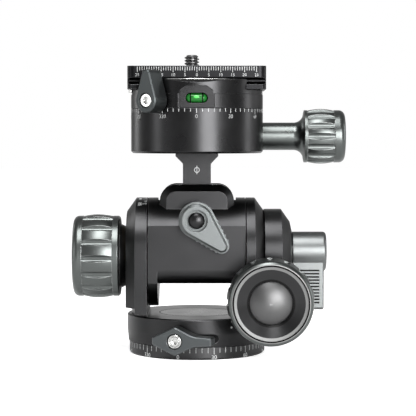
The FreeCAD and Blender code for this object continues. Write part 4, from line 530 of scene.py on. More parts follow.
# Black for the vial's printed lines, also used for a painted shadow line.
MARK_AND_SHADOW_BLACK = Plain("mark_and_shadow_black", (0.004, 0.004, 0.004), (0.006, 0.006, 0.006), roughness=0.5, specular=0.0)


def knob_finish(name: str, centre: tuple[float, float, float], axis: Axis,
                bands: tuple[Band, ...] = ()) -> Anodised:
    """Finish of a grey knob turned about an axis through centre, with bands of another colour."""
    return Anodised(name, (0.115, 0.124, 0.121), roughness=0.3, edge=(0.6, 0.61, 0.61), glint_and_wear=0.5,
                    turning=Turning(centre, axis, 0.08), bands=bands)


# A large knob's face: bright machined rings with painted shade in the groove between them, round a black dish
# that painted shade darkens next to the cap.
KNOB_RING = (0.25, 0.252, 0.25)
KNOB_FACE_AND_SHADE = (
    Band(15.7, 16.1, KNOB_RING, 0.5), Band(15.05, 15.7, (0.006, 0.006, 0.006), 0.5),
    Band(13.9, 15.1, KNOB_RING, 0.58), Band(9.8, 13.9, (0.045, 0.045, 0.046), 0.3),
    Band(0.0, 9.8, (0.02, 0.02, 0.02), 0.3))
# A point on the tilt knob's axis, and the tilt axis's Z.
TILT_DRIVE = (30.3, 0.0, 25.5)
TILT_AXIS = 43.4
TILT_KNOB = knob_finish("grey_tilt_knob", TILT_DRIVE, Axis.FRONT, KNOB_FACE_AND_SHADE)
ROLL_KNOB = knob_finish("grey_roll_knob", (0.0, 0.0, 41.5), Axis.RIGHT, KNOB_FACE_AND_SHADE)
PAN_KNOB = knob_finish("grey_pan_knob", (0.0, 20.0, 93.2), Axis.RIGHT)
CAP_TILT = Anodised("black_tilt_cap", (0.12, 0.12, 0.121), roughness=0.42,
                    turning=Turning(TILT_DRIVE, Axis.FRONT, 0.08))
# The clutch lever's groove floors get painted shade.
CLUTCH = Anodised("brushed_grey_clutch", (0.165, 0.173, 0.173), roughness=0.38, glint_and_wear=0.45,
                  turning=Turning((0.0, 0.0, TILT_AXIS), Axis.RIGHT, 0.12),
                  groove_shade=GrooveShade((43.2, 52.6), (-7.25, -6.6), 35.98, 1.38, 11))


# Mesh building
# How deep thin pieces are sunk, the thickness of flat print, a numeral's share of its font size, the steps
# round a screw, the degrees above which edges stay sharp, and the turns that lay a print on its face.
SINK = 0.1
PRINT_DEPTH = 0.12
NUMERAL_SHARE = 0.7
SCREW_STEPS = 72
SMOOTH = 40.0
SIDEWAYS = Matrix(((0, 0, 1, 0), (0, 1, 0, 0), (-1, 0, 0, 0), (0, 0, 0, 1)))
FACE_UP = Matrix(((1, 0, 0, 0), (0, 0, -1, 0), (0, 1, 0, 0), (0, 0, 0, 1)))


def linked(name: str, data: bpy.types.ID) -> Piece:
    """Put data, such as a mesh, a curve or a lamp, in the scene as an object of this name."""
    data.name = name
    piece = bpy.data.objects.new(name, data)
    bpy.context.scene.collection.objects.link(piece)
    return piece


def solid(name: str, points: list[Vector], faces: list[list[int]], smooth: float | None = None) -> Piece:
    """Make a piece from points and faces.

    Args:
        name: The piece's name.
        points: The points, in metres.
        faces: Each face's corners.
        smooth: Degrees above which edges stay sharp, or nothing for flat faces.

    Returns:
        The piece.
    """
    mesh = bpy.data.meshes.new(name)
    mesh.from_pydata(points, [], faces)
    mesh.validate()
    mesh.update()
    if smooth is not None:
        mesh.shade_smooth()
        mesh.set_sharp_from_angle(angle=math.radians(smooth))
    return linked(name, mesh)


def turned(name: str, profile: Profile, segments: int, place: Matrix, smooth: float | None = None) -> Piece:
    """Turn a profile that may change with the angle, and lay it in its place.

    Args:
        name: The piece's name.
        profile: Gives the (radius, height) points at an angle in radians, from the axis to the axis or as a
            closed loop whose last point joins the first.
        segments: Number of steps round the axis.
        place: The matrix from the turning frame, whose axis is Z, to the head.
        smooth: Degrees above which edges stay sharp, or nothing for flat faces.

    Returns:
        The piece.
    """
    points: list[Vector] = []
    index: list[list[int]] = []
    for step in range(segments):
        angle = 2 * math.pi * step / segments
        row = []
        for spot, (radius, height) in enumerate(profile(angle)):
            if radius == 0.0 and step > 0:
                row.append(index[0][spot])
                continue
            row.append(len(points))
            points.append(place @ Vector((radius * math.cos(angle), radius * math.sin(angle), height)))
        index.append(row)
    count = len(index[0])
    spans = count if profile(0.0)[0][0] > 0.0 else count - 1
    faces = []
    for here, there in zip(index, index[1:] + index[:1]):
        for low in range(spans):
            high = (low + 1) % count
            faces.append(list(dict.fromkeys([here[low], there[low], there[high], here[high]])))
    return solid(name, points, faces, smooth)


def flat_ring(name: str, outer: float, inner: float, rise: float, segments: int, place: Matrix) -> Piece:
    """Thin ring that is mostly sunk in the face that it lies on, and stands out of it by rise."""
    loop = [(outer, -SINK), (outer, rise), (inner, rise), (inner, -SINK)]
    return turned(name, lambda angle: loop, segments, place)


def standing(place: Vector, towards: Vector) -> Matrix:
    """Matrix that stands a turning frame in millimetres on a point, with its Z towards a direction."""
    turn = towards.to_track_quat("Z", "Y").to_matrix().to_4x4()
    return Matrix.Scale(MM, 4) @ Matrix.Translation(place) @ turn


def outward(azimuth: float) -> Vector:
    """Horizontal direction at an azimuth in degrees, from the front towards the right."""
    angle = math.radians(azimuth)
    return Vector((math.sin(angle), -math.cos(angle), 0.0))


def upward(height: float) -> Vector:
    """Vector straight up."""
    return Vector((0.0, 0.0, height))


def hex_reach(angle: float, across_flats: float) -> float:
    """Distance from the centre of a hexagon to its wall at an angle in radians."""
    sector = math.pi / 3
    return across_flats / 2 / math.cos(angle % sector - sector / 2)


# Scales: ticks by Geometry Nodes, numerals by text
def tick_tree() -> Tree:
    """Row of ticks round a cylinder or along a straight edge.

    Returns:
        The tree; every nth tick is long.
    """
    tree = bpy.data.node_groups.new("scale_ticks", "GeometryNodeTree")
    tree.interface.new_socket("Geometry", in_out="OUTPUT", socket_type="NodeSocketGeometry")
    tree.interface.new_socket("Material", in_out="INPUT", socket_type="NodeSocketMaterial")
    tree.interface.new_socket("Count", in_out="INPUT", socket_type="NodeSocketInt")
    for label in ("Radius", "First angle", "Angle step", "First place", "Place step", "Top", "Short", "Long",
                  "Every", "Width", "Depth"):
        tree.interface.new_socket(label, in_out="INPUT", socket_type=NUMBER)
    graph = Graph(tree)
    given = graph.add("NodeGroupInput").outputs
    index = graph.add("GeometryNodeInputIndex").outputs[0]
    angle, shift = (graph.math("ADD", given[first], graph.math("MULTIPLY", index, given[step]))
                    for first, step in (("First angle", "Angle step"), ("First place", "Place step")))
    is_long = graph.math("LESS_THAN", graph.math("FLOORED_MODULO", index, given["Every"]), 0.5)
    length = graph.math("ADD", given["Short"], graph.math(
        "MULTIPLY", is_long, graph.math("SUBTRACT", given["Long"], given["Short"])))
    across, ahead = (graph.math("MULTIPLY", given["Radius"], graph.math(share, angle))
                     for share in ("SINE", "COSINE"))
    place = graph.add("ShaderNodeCombineXYZ", X=graph.math("ADD", shift, across),
                      Y=graph.math("MULTIPLY", ahead, -1.0),
                      Z=graph.math("SUBTRACT", given["Top"], graph.math("MULTIPLY", length, 0.5))).outputs[0]
    turn = graph.add("ShaderNodeCombineXYZ", Z=angle).outputs[0]
    size = graph.add("ShaderNodeCombineXYZ", X=given["Width"], Y=given["Depth"], Z=length).outputs[0]
    points = graph.add("GeometryNodePoints", Count=given["Count"], Position=place).outputs[0]
    copies = graph.add("GeometryNodeInstanceOnPoints", Points=points, Scale=size,
                       Instance=graph.add("GeometryNodeMeshCube", Size=(1.0, 1.0, 1.0)).outputs["Mesh"],
                       Rotation=graph.add("FunctionNodeEulerToRotation", Euler=turn).outputs[0]).outputs[0]
    real = graph.add("GeometryNodeRealizeInstances", Geometry=copies).outputs[0]
    graph.add("NodeGroupOutput", Geometry=graph.add(
        "GeometryNodeSetMaterial", Geometry=real, Material=given["Material"]).outputs[0])
    return tree


def kept_mesh(holder: Piece) -> Mesh:
    """Turn an object into a plain mesh and remove the object.

    Args:
        holder: The object, such as a text or one that a geometry tree grows.

    Returns:
        The mesh.
    """
    depsgraph = bpy.context.evaluated_depsgraph_get()
    mesh = bpy.data.meshes.new_from_object(holder.evaluated_get(depsgraph), depsgraph=depsgraph)
    bpy.data.objects.remove(holder)
    return mesh


def text_mesh(words: str, height: float, thickness: float) -> Mesh:
    """Flat lettering with a little thickness, centred on the origin in XY.

    Args:
        words: The characters.
        height: Height of a numeral, in metres.
        thickness: Thickness, in metres.

    Returns:
        The mesh.
    """
    curve = bpy.data.curves.new(words, "FONT")
    curve.body = words
    curve.align_x = curve.align_y = "CENTER"
    curve.size = height / NUMERAL_SHARE
    curve.extrude = thickness / 2
    curve.resolution_u = 3
    return kept_mesh(linked(words, curve))


def joined(name: str, meshes: Iterable[Mesh]) -> Piece:
    """Put several meshes into one piece.

    Args:
        name: The piece's name.
        meshes: The meshes; they are removed.

    Returns:
        The piece.
    """
    points: list[Vector] = []
    faces: list[list[int]] = []
    for mesh in meshes:
        start = len(points)
        points.extend(point.co.copy() for point in mesh.vertices)
        faces.extend([start + corner for corner in face.vertices] for face in mesh.polygons)
        bpy.data.meshes.remove(mesh)
    whole = bpy.data.meshes.new(name)
    whole.from_pydata(points, [], faces)
    whole.update()
    return linked(name, whole)


# Sub-assemblies
@dataclass
class Shop:
    """What every sub-assembly is built and dressed with.

    Attributes:
        nodes: The frame's nodes.
        kit: The finishes.
        ticks: The geometry tree that prints ticks.
    """

    nodes: dict[str, Piece]
    kit: FinishKit
    ticks: Tree

    def dress(self, finish: Finish, *names: str) -> None:
        """Give the frame's nodes of these names one finish.

        Args:
            finish: The finish.
            names: The nodes.
        """
        for name in names:
            self.kit.dress(self.nodes[name], finish)
            LOG.info("%s: finish %s", name, finish.name)

    def fit(self, piece: Piece, finish: Finish, body: str,
            replaces: str | None = None) -> None:
        """Dress a piece, fix it to its body and hide the frame's node that it stands for.

        Args:
            piece: The piece, in its place.
            finish: Its finish.
            body: The frame's body that it moves with.
            replaces: The frame's node that it stands for, if any.
        """
        self.kit.dress(piece, finish)
        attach(piece, body)
        if replaces is not None:
            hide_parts(replaces)
        LOG.info("%s: %d faces on %s", piece.name, len(piece.data.polygons), body)

    def row(self, count: int, place: Matrix, lengths: dict[str, float], every: float = 1.0,
            angles: tuple[float, float] = (0.0, 0.0)) -> Mesh:
        """Print a row of ticks.

        Args:
            count: Number of ticks.
            place: Matrix from the row's frame, in metres, to the head.
            lengths: The tree's lengths by name, in millimetres; Long is as Short if it isn't named.
            every: Ticks from one long tick to the next.
            angles: The first tick's angle and the step between ticks, in radians.

        Returns:
            The ticks.
        """
        lengths = {"Long": lengths["Short"], "Depth": PRINT_DEPTH, **lengths}
        values = {"Count": count, "Every": every, "First angle": angles[0], "Angle step": angles[1],
                  "Material": self.kit.material(PRINT)}
        values.update((label, length * MM) for label, length in lengths.items())
        holder = linked("ticks", bpy.data.meshes.new("ticks"))
        modifier = holder.modifiers.new("Grow", "NODES")
        modifier.node_group = self.ticks
        for socket in self.ticks.interface.items_tree:
            if socket.name in values:
                modifier[socket.identifier] = values[socket.name]
        mesh = kept_mesh(holder)
        mesh.transform(place)
        return mesh


@dataclass(frozen=True)
class Scale:
    """What a printed scale is, round or straight.

    Attributes:
        name: Stem of the pieces' names.
        body: The frame's body that it is printed on.
        top: Height where the ticks start.
        short: Length of a short tick.
        long: Length of a tick at a numeral.
        numeral: Height of a numeral.
        drop: How far the numerals' middle lies below the ticks' start.
    """

    name: str
    body: str
    top: float
    short: float
    long: float
    numeral: float
    drop: float

    def lay(self, shop: Shop, ticks: Mesh, numerals: Iterable[Mesh], ink: Plain, place: Matrix) -> None:
        """Lay the ticks and the numerals in their place.

        Args:
            shop: The finishes.
            ticks: The ticks, in their place.
            numerals: The numerals.
            ink: The numerals' finish.
            place: Matrix from the numerals' frame, in metres, to the head.
        """
        shop.fit(linked(self.name + "_ticks", ticks), PRINT, self.body)
        words = joined(self.name + "_numerals", numerals)
        words.data.transform(place)
        shop.fit(words, ink, self.body)


@dataclass(frozen=True)
class Dial(Scale):
    """A printed scale round a cylinder.

    Attributes:
        radius: The cylinder's radius.
        zero: Azimuth of the zero.
        tick: Width of a tick.
        step: Degrees between ticks.
        label_step: Degrees between numerals.
        turn: Degrees that the scale covers.
        proud: How far the print stands out.
        depth: Thickness of the print, most of it sunk.
        place: Matrix from the cylinder's frame, in metres, to the head.
        ink: Finish of the numerals.
    """

    radius: float
    zero: float
    tick: float = 0.22
    step: float = 5.0
    label_step: float = 30.0
    turn: float = 360.0
    proud: float = 0.03
    depth: float = 0.16
    place: Matrix = field(default_factory=Matrix)
    ink: Plain = PRINT

    def numerals(self, count: int) -> Iterable[Mesh]:
        """Letter the numerals and bend them round the cylinder.

        Args:
            count: Number of numerals.

        Yields:
            A mesh of each.
        """
        for label in range(count):
            degrees = label * self.label_step
            mesh = text_mesh("%d" % degrees, self.numeral * MM, self.depth * MM)
            for point in mesh.vertices:
                angle = math.radians(self.zero + degrees) + point.co.x / (self.radius * MM)
                reach = (self.radius + self.proud - self.depth / 2) * MM + point.co.z
                point.co = Vector((reach * math.sin(angle), -reach * math.cos(angle),
                                   point.co.y + (self.top - self.drop) * MM))
            yield mesh

    def build(self, shop: Shop) -> None:
        """Print the ticks and the numerals.

        Args:
            shop: The finishes and trees.
        """
        ends = 0 if self.turn == 360.0 else 1
        ticks = shop.row(round(self.turn / self.step) + ends, self.place, {
            "Radius": self.radius + self.proud - self.depth / 2, "Top": self.top, "Short": self.short,
            "Long": self.long, "Width": self.tick, "Depth": self.depth},
            self.label_step / self.step, (math.radians(self.zero), math.radians(self.step)))
        self.lay(shop, ticks, self.numerals(round(self.turn / self.label_step) + ends), self.ink, self.place)


@dataclass(frozen=True)
class Rule(Scale):
    """A printed scale along a straight edge that faces the front.

    Attributes:
        face: The face's Y.
        zero: X of the zero.
        half: Millimetres on each side of the zero.
        every: Millimetres between numerals.
        tick: Width of a tick.
        proud: How far the print stands out.
    """

    face: float
    zero: float
    half: int
    every: int = 5
    tick: float = 0.24
    proud: float = 0.02

    def build(self, shop: Shop) -> None:
        """Print the ticks and the numerals.

        Args:
            shop: The finishes and trees.
        """
        middle = (self.face - self.proud + PRINT_DEPTH / 2) * MM
        ticks = shop.row(2 * self.half + 1, Matrix.Translation((0.0, middle, 0.0)), {
            "First place": self.zero - self.half, "Place step": 1.0, "Top": self.top, "Short": self.short,
            "Long": self.long, "Width": self.tick}, float(self.every))
        numerals = []
        for label in range(-self.half, self.half + 1, self.every):
            numerals.append(text_mesh("%d" % abs(label), self.numeral * MM, PRINT_DEPTH * MM))
            upright = Matrix.Translation(((self.zero + label) * MM, middle, (self.top - self.drop) * MM))
            numerals[-1].transform(upright @ Matrix.Rotation(math.radians(90.0), 4, "X"))
        self.lay(shop, ticks, numerals, PRINT, Matrix())


@dataclass(frozen=True)
class SocketHead:
    """Bright screw head with a hexagon socket, in one with its shank.

    Attributes:
        start: Distance from the swing axis where the shank starts.
        seat: Where the head starts.
        front: Where the head ends.
        shank: The shank's radius.
        radius: The head's radius.
        flats: The hexagon's width.
        depth: The socket's depth.
        ring: Radius of the groove round the socket, or nothing.
        bevel: Bevel at the head's edge.
        groove: The groove's half width at its top, its half width at its floor, and its depth.
        mouth: Width and depth of the bevel at the socket's mouth.
        cone: Depth of the cone in the socket's floor.
    """

    start: float
    seat: float
    front: float
    shank: float
    radius: float
    flats: float
    depth: float
    ring: float | None = None
    bevel: float = 0.25
    groove: tuple[float, float, float] = (0.22, 0.16, 0.5)
    mouth: tuple[float, float] = (0.22, 0.2)
    cone: float = 0.3

    def profile(self, angle: float) -> Section:
        """Half section at an angle round the screw.

        Args:
            angle: The angle, in radians.

        Returns:
            The (radius, height) points from the axis to the axis.
        """
        points = [(0.0, self.start), (self.shank, self.start), (self.shank, self.seat),
                  (self.radius, self.seat), (self.radius, self.front - self.bevel),
                  (self.radius - self.bevel, self.front)]
        if self.ring is not None:
            top, low, deep = self.groove
            points += [(self.ring + top, self.front), (self.ring + low, self.front - deep),
                       (self.ring - low, self.front - deep), (self.ring - top, self.front)]
        reach = hex_reach(angle, self.flats)
        wide, fall = self.mouth
        floor = self.front - self.depth
        return points + [(reach + wide, self.front), (reach, self.front - fall), (reach, floor),
                         (0.0, floor - self.cone)]

    def build(self, name: str, azimuth: float, height: float) -> Piece:
        """Make the screw, pointing outwards at an azimuth in degrees, at a height."""
        return turned(name, self.profile, SCREW_STEPS, standing(upward(height), outward(azimuth)), 30.0)


@dataclass(frozen=True)
class Thread:
    """Screw thread as a wall whose radius follows a helix.

    Attributes:
        root: The smaller radius.
        crest: The larger radius.
        pitch: Height of one turn.
        rows: Rows of points in one turn.
        flank: Height of the thread's section before it is cut to its root and crest, in thread depths.
        slope: How fast that section falls, in thread depths per pitch.
        runout: How fast the thread grows from its ends, in thread depths per pitch.
    """

    root: float
    crest: float
    pitch: float
    rows: int = 14
    flank: float = 1.5
    slope: float = 3.6
    runout: float = 2.0

    def wall(self, angle: float, low: float, high: float) -> Section:
        """Points of the wall at an angle, from low to high.

        Args:
            angle: The angle, in radians.
            low: Height where the thread starts.
            high: Height where it ends.

        Returns:
            The (radius, height) points.
        """
        count = max(2, round((high - low) / self.pitch * self.rows))
        points = []
        for row in range(count + 1):
            height = low + (high - low) * row / count
            phase = (height / self.pitch - angle / (2.0 * math.pi)) % 1.0
            share = min(1.0, max(0.0, self.flank - abs(phase - 0.5) * self.slope))
            fade = min(1.0, *(gap / self.pitch * self.runout for gap in (height - low, high - height)))
            points.append((self.root + (self.crest - self.root) * share * max(0.0, fade), height))
        return points


@dataclass
class Base:
    """Base disc with its scale, hub, collar and threaded insert.

    Attributes:
        scale: The scale round the disc.
        insert_radius: Radius of the insert.
        insert_length: Length of the insert.
        insert_edge: Height of the plain edge at each end of its thread.
        thread: The insert's thread.
    """

    scale: Dial = Dial("base_scale", "base", 5.2, 2.2, 2.9, 1.7, 4.1, 29.2, -15.5)
    insert_radius: float = 6.5
    insert_length: float = 10.0
    insert_edge: float = 0.1
    thread: Thread = Thread(3.97, 4.75, 1.5875)

    def insert(self, angle: float) -> Section:
        """Half section of the insert at an angle in radians, as a closed loop."""
        wall = self.thread.wall(angle, self.insert_edge, self.insert_length - self.insert_edge)
        return [(self.insert_radius, 0.0), (self.insert_radius, self.insert_length)] + wall[::-1]

    def build(self, shop: Shop) -> None:
        """Build and dress the base.

        Args:
            shop: The nodes, finishes and trees.
        """
        shop.dress(BLACK_BASE, "base_disc", "base_hub")
        shop.dress(STEEL, "spindle_collar", "collar_screws")
        insert = turned("threaded_insert", self.insert, 64, Matrix.Scale(MM, 4), SMOOTH)
        shop.fit(insert, STEEL, "base", "thread_insert")
        self.scale.build(shop)


@dataclass
class BaseLock:
    """Winged lever that locks the base, and its bright stud.

    Attributes:
        azimuth: Degrees from the front towards the right.
        height: The stud's Z.
        stud: The stud.
    """

    azimuth: float = -13.4
    height: float = 8.9
    stud: SocketHead = SocketHead(16.3, 37.1, 39.2, 1.6, 2.9, 2.1, 1.2, 2.1)

    def build(self, shop: Shop) -> None:
        """Build and dress the lock.

        Args:
            shop: The nodes, finishes and trees.
        """
        shop.dress(LOCK_GREY, "lock_lever")
        screw = self.stud.build("lock_screw", self.azimuth, self.height)
        shop.fit(screw, STEEL, "base_lock", "lock_stud")


@dataclass
class Yoke:
    """Platform, ears and gear housing, with the tilt scale on the left ear.

    Attributes:
        tilt_scale: The scale round the left ear.
        dot: Place of the index dot on the platform: radius, azimuth and height.
        dot_radius: The dot's radius.
        dot_section: Heights of the dot's foot, of its edge and of its middle.
        dot_steps: Steps round the dot.
        shadow_line: Radius, half width and Z of the painted shadow line round the cap, where it meets the
            platform.
        shadow_line_rise: How far the line stands out.
    """

    tilt_scale: Dial = Dial(
        "tilt_scale", "yoke", -21.3, 1.3, 2.0, 1.5, 3.1, 23.4, -168.8, label_step=15.0, turn=105.0,
        place=Matrix.Translation((0.0, 0.0, TILT_AXIS * MM)) @ SIDEWAYS)
    dot: tuple[float, float, float] = (30.1, 29.0, 13.4)
    dot_radius: float = 0.45
    dot_section: tuple[float, float, float] = (-0.3, 0.02, 0.04)
    dot_steps: int = 20
    shadow_line: tuple[float, float, float] = (16.2, 0.16, 17.05)
    shadow_line_rise: float = 0.02

    def build(self, shop: Shop) -> None:
        """Build and dress the yoke.

        Args:
            shop: The nodes, finishes and trees.
        """
        shop.dress(BLACK, "yoke_frame", "gear_housing")
        shop.dress(BLACK_TURNED, "platform_cap")
        shop.dress(ACETAL, "pan_friction_ring", "lock_pad")
        shop.dress(BRONZE, "left_ear_bush", "right_ear_bush", "tilt_worm_bushes")
        shop.dress(STEEL, "housing_screws")
        self.tilt_scale.build(shop)
        reach, azimuth, height = self.dot
        foot, edge, middle = self.dot_section
        section = [(0.0, foot), (self.dot_radius, foot), (self.dot_radius, edge), (0.0, middle)]
        away = outward(azimuth)
        dot = turned("pan_index_dot", lambda angle: section, self.dot_steps,
                     standing(reach * away + upward(height), away))
        shop.fit(dot, PRINT, "yoke")
        # A thin dark ring of painted shadow where the cap meets the platform.
        radius, half, top = self.shadow_line
        shadow_line = flat_ring("platform_cap_shadow_line", radius + half, radius - half, self.shadow_line_rise, 96,
                         standing(upward(top), upward(1.0)))
        shop.fit(shadow_line, MARK_AND_SHADOW_BLACK, "yoke")


@dataclass
class TiltUnit:
    """Tilting barrel with its hood, gears, cone, roll scale and tilt drive.

    Attributes:
        roll_ticks: X of the first tick on each side of the hood's slot.
        tick_step: Distance between ticks.
        tick_count: Ticks on each side.
        tick_length: Length of a tick.
        tick_width: Width of a tick.
        hood_top: Z of the hood's top.
        hood_front: Y where the ticks start.
        sunk: How far the ticks' middle lies below the hood's top.
    """

    roll_ticks: tuple[float, float] = (-8.3, 6.7)
    tick_step: float = 0.8
    tick_count: int = 3
    tick_length: float = 1.4
    tick_width: float = 0.25
    hood_top: float = 72.7
    hood_front: float = -13.2
    sunk: float = 0.04

    def build(self, shop: Shop) -> None:
        """Build and dress the tilting barrel and what drives it.

        Args:
            shop: The nodes, finishes and trees.
        """
        shop.dress(BLACK, "tilt_housing", "trunnion_cone")
        shop.dress(STEEL, "left_trunnion", "right_trunnion", "wheel_screw", "roll_pin", "tilt_worm",
                   "tilt_clutch_shaft")
        shop.dress(BRONZE, "tilt_worm_wheel", "roll_worm_bushes")
        shop.dress(TILT_KNOB, "tilt_knob")
        shop.dress(CAP_TILT, "tilt_knob_cap")
        shop.dress(CLUTCH, "tilt_clutch_lever")
        shop.dress(LEVER_LIGHT, "tilt_clutch_cap")
        place = Matrix.Translation(upward((self.hood_top - self.sunk) * MM)) @ FACE_UP
        rows = [shop.row(self.tick_count, place, {
            "First place": first, "Place step": self.tick_step, "Top": -self.hood_front,
            "Short": self.tick_length, "Width": self.tick_width}) for first in self.roll_ticks]
        shop.fit(joined("roll_scale_ticks", rows), PRINT, "tilt_body")


@dataclass
class RollUnit:
    """Roll arm with its centre mark, gear, knob and clutch.

    Attributes:
        mark_height: Z of the mark's middle.
        mark_face: Y of the arm's front.
        mark_outer: Outer radius of the mark's ring.
        mark_inner: Inner radius of the mark's ring.
        mark_rise: How far the ring stands out.
        line_half: Half the length of the mark's line.
        line_width: Width of the line.
        line_sunk: How far the line's middle lies behind the arm's front.
    """

    mark_height: float = 78.8
    mark_face: float = -7.5
    mark_outer: float = 1.2
    mark_inner: float = 0.88
    mark_rise: float = 0.03
    line_half: float = 1.8
    line_width: float = 0.3
    line_sunk: float = 0.02

    def build(self, shop: Shop) -> None:
        """Build and dress the roll unit.

        Args:
            shop: The nodes, finishes and trees.
        """
        shop.dress(BLACK, "roll_arm", "roll_clutch_cap", "roll_knob_cap")
        shop.dress(BRONZE, "sector_gear")
        shop.dress(STEEL, "roll_worm")
        shop.dress(ROLL_KNOB, "roll_knob")
        shop.dress(LEVER_LIGHT, "roll_clutch_lever")
        middle = Vector((0.0, self.mark_face, self.mark_height))
        ring = flat_ring("arm_mark_ring", self.mark_outer, self.mark_inner, self.mark_rise, 40,
                         standing(middle, outward(0.0)))
        line = shop.row(1, Matrix.Translation((0.0, (self.mark_face + self.line_sunk) * MM, 0.0)), {
            "Top": self.mark_height + self.line_half, "Short": 2 * self.line_half, "Width": self.line_width})
        for piece in (ring, linked("arm_mark_line", line)):
            shop.fit(piece, PRINT, "roll_body")


@dataclass
class PanUnit:
    """Lower pan disc with its scale, floor, worm drive and knob.

    Attributes:
        scale: The scale round the disc.
    """

    scale: Dial = Dial("pan_scale", "roll_body", 104.8, 1.4, 2.0, 1.6, 3.4, 28.4, 0.0, ink=PRINT_SOFT)

    def build(self, shop: Shop) -> None:
        """Build and dress the pan unit.

        Args:
            shop: The nodes, finishes and trees.
        """
        shop.dress(BLACK_TURNED, "pan_housing", "pan_floor")
        shop.dress(STEEL, "pan_floor_screws", "pan_worm")
        shop.dress(BRONZE, "pan_worm_wheel", "pan_worm_bush")
        shop.dress(PAN_KNOB, "pan_knob")
        self.scale.build(shop)


@dataclass
class Clamp:
    """Upper disc with its jaws, bubble level, lever and screw.

    Attributes:
        azimuth: Azimuth of the lever.
        height: Z of the lever's shaft.
        screw: The lever's screw with its shaft.
        vial_front: Y of the vial's front.
        vial_back: Y of the vial's flat back.
        vial_height: Z of the vial's middle.
        vial_half: Half the vial's length.
        vial_radius: The vial's radius.
        vial_steps: Steps round the vial.
        line_place: X of the vial's two lines.
        line_width: Width of a line.
        line_depth: How far a line reaches into the glass and out of it.
        bubble_half: Half the bubble's length and half its height, along the glass.
        bubble_lift: Degrees of the bubble's middle above the front.
        bubble_section: The bubble's rings: share of its size, and height above the glass.
        bubble_steps: Steps round the bubble.
        rim_radius: Radius of the clamp's front wall.
        rim_height: Z of the front wall's top.
        rim_bevel: Width of the bright bevel along that top.
        rim_proud: How far the bevel stands out.
        rim_span: Azimuths where the bevel starts and ends.
        rim_steps: Steps along the bevel.
    """

    azimuth: float = -35.0
    height: float = 108.0
    screw: SocketHead = SocketHead(16.3, 34.5, 36.5, 2.5, 3.1, 2.7, 1.4, None, 0.5)
    vial_front: float = -27.2
    vial_back: float = -23.85
    vial_height: float = 109.1
    vial_half: float = 4.55
    vial_radius: float = 2.02
    vial_steps: int = 40
    line_place: float = 2.55
    line_width: float = 0.5
    line_depth: tuple[float, float] = (0.15, 0.06)
    bubble_half: tuple[float, float] = (1.1, 0.6)
    bubble_lift: float = 14.0
    bubble_section: tuple[tuple[float, float], ...] = (
        (1.0, -0.05), (1.0, 0.0), (0.85, 0.03), (0.6, 0.045), (0.3, 0.05))
    bubble_steps: int = 32
    rim_radius: float = 28.1
    rim_height: float = 117.2
    rim_bevel: float = 0.3
    rim_proud: float = 0.03
    rim_span: tuple[float, float] = (-28.0, 36.0)
    rim_steps: int = 32

    def vial_point(self, along: float, angle: float, radius: float) -> Vector:
        """A point of the vial in its place.

        Args:
            along: Place along the vial.
            angle: Degrees above the front, round the vial.
            radius: Distance from the vial's axis.

        Returns:
            The point, in metres.
        """
        lift = math.radians(angle)
        depth = self.vial_front + self.vial_radius - radius * math.cos(lift)
        return Vector((along, min(depth, self.vial_back), self.vial_height + radius * math.sin(lift))) * MM

    def wrapped(self, name: str, rows: list[list[Vector]]) -> Piece:
        """Closed mesh of rings that are joined in their order, with a fan at each end.

        Args:
            name: The piece's name.
            rows: The rings, each with the same number of points.

        Returns:
            The piece.
        """
        count = len(rows[0])
        last = (len(rows) - 1) * count
        points = [point for row in rows for point in row]
        sides = [(step, (step + 1) % count) for step in range(count)]
        faces = [[low + here, low + there, low + count + there, low + count + here]
                 for low in range(0, last, count) for here, there in sides]
        for start, row, turn in ((0, rows[0], -1), (last, rows[-1], 1)):
            points.append(sum(row, Vector()) / count)
            faces += [[start + here, start + there, len(points) - 1][::turn] for here, there in sides]
        return solid(name, points, faces, SMOOTH)

    def hoops(self, name: str, section: Iterable[tuple[float, float]]) -> Piece:
        """Piece of rings round the vial, each with a place along it and a radius."""
        count = self.vial_steps
        return self.wrapped(name, [[self.vial_point(along, 360.0 * step / count, radius)
                                    for step in range(count)] for along, radius in section])

    def vial(self) -> Piece:
        """Capsule of glass and liquid, flat at the back.

        Returns:
            The piece.
        """
        straight = self.vial_half - self.vial_radius
        spots = [(-straight - self.vial_radius * math.cos(math.radians(turn)),
                  self.vial_radius * math.sin(math.radians(turn))) for turn in range(6, 91, 12)]
        return self.hoops("level_vial_glass", spots + [(-along, radius) for along, radius in reversed(spots)])

    def vial_line(self, name: str, middle: float) -> Piece:
        """Thin dark line round the vial.

        Args:
            name: The piece's name.
            middle: Its X.

        Returns:
            The piece.
        """
        low, high = middle - self.line_width / 2, middle + self.line_width / 2
        inner, outer = self.vial_radius - self.line_depth[0], self.vial_radius + self.line_depth[1]
        return self.hoops(name, ((low, inner), (low, outer), (high, outer), (high, inner)))

    def bubble(self) -> Piece:
        """Bubble as a lens on the front of the glass.

        Returns:
            The piece.
        """
        half, tall = self.bubble_half
        turns = [2 * math.pi * step / self.bubble_steps for step in range(self.bubble_steps)]
        return self.wrapped("level_bubble", [[
            self.vial_point(half * share * math.cos(turn), self.bubble_lift + math.degrees(
                tall * share * math.sin(turn) / self.vial_radius), self.vial_radius + lift)
            for turn in turns] for share, lift in self.bubble_section])

    def rim(self) -> Piece:
        """Bright bevel along the top of the front wall.

        Returns:
            The piece.
        """
        proud, bevel = self.rim_proud, self.rim_bevel
        section = ((proud, -bevel), (proud - bevel, proud), (-bevel, -SINK), (-SINK, -bevel))
        start, end = self.rim_span
        rows = []
        for step in range(self.rim_steps + 1):
            away = outward(start + (end - start) * step / self.rim_steps)
            rows.append([(away * (self.rim_radius + out) + upward(self.rim_height + lift)) * MM
                         for out, lift in section])
        return self.wrapped("clamp_rim_bevel", rows)

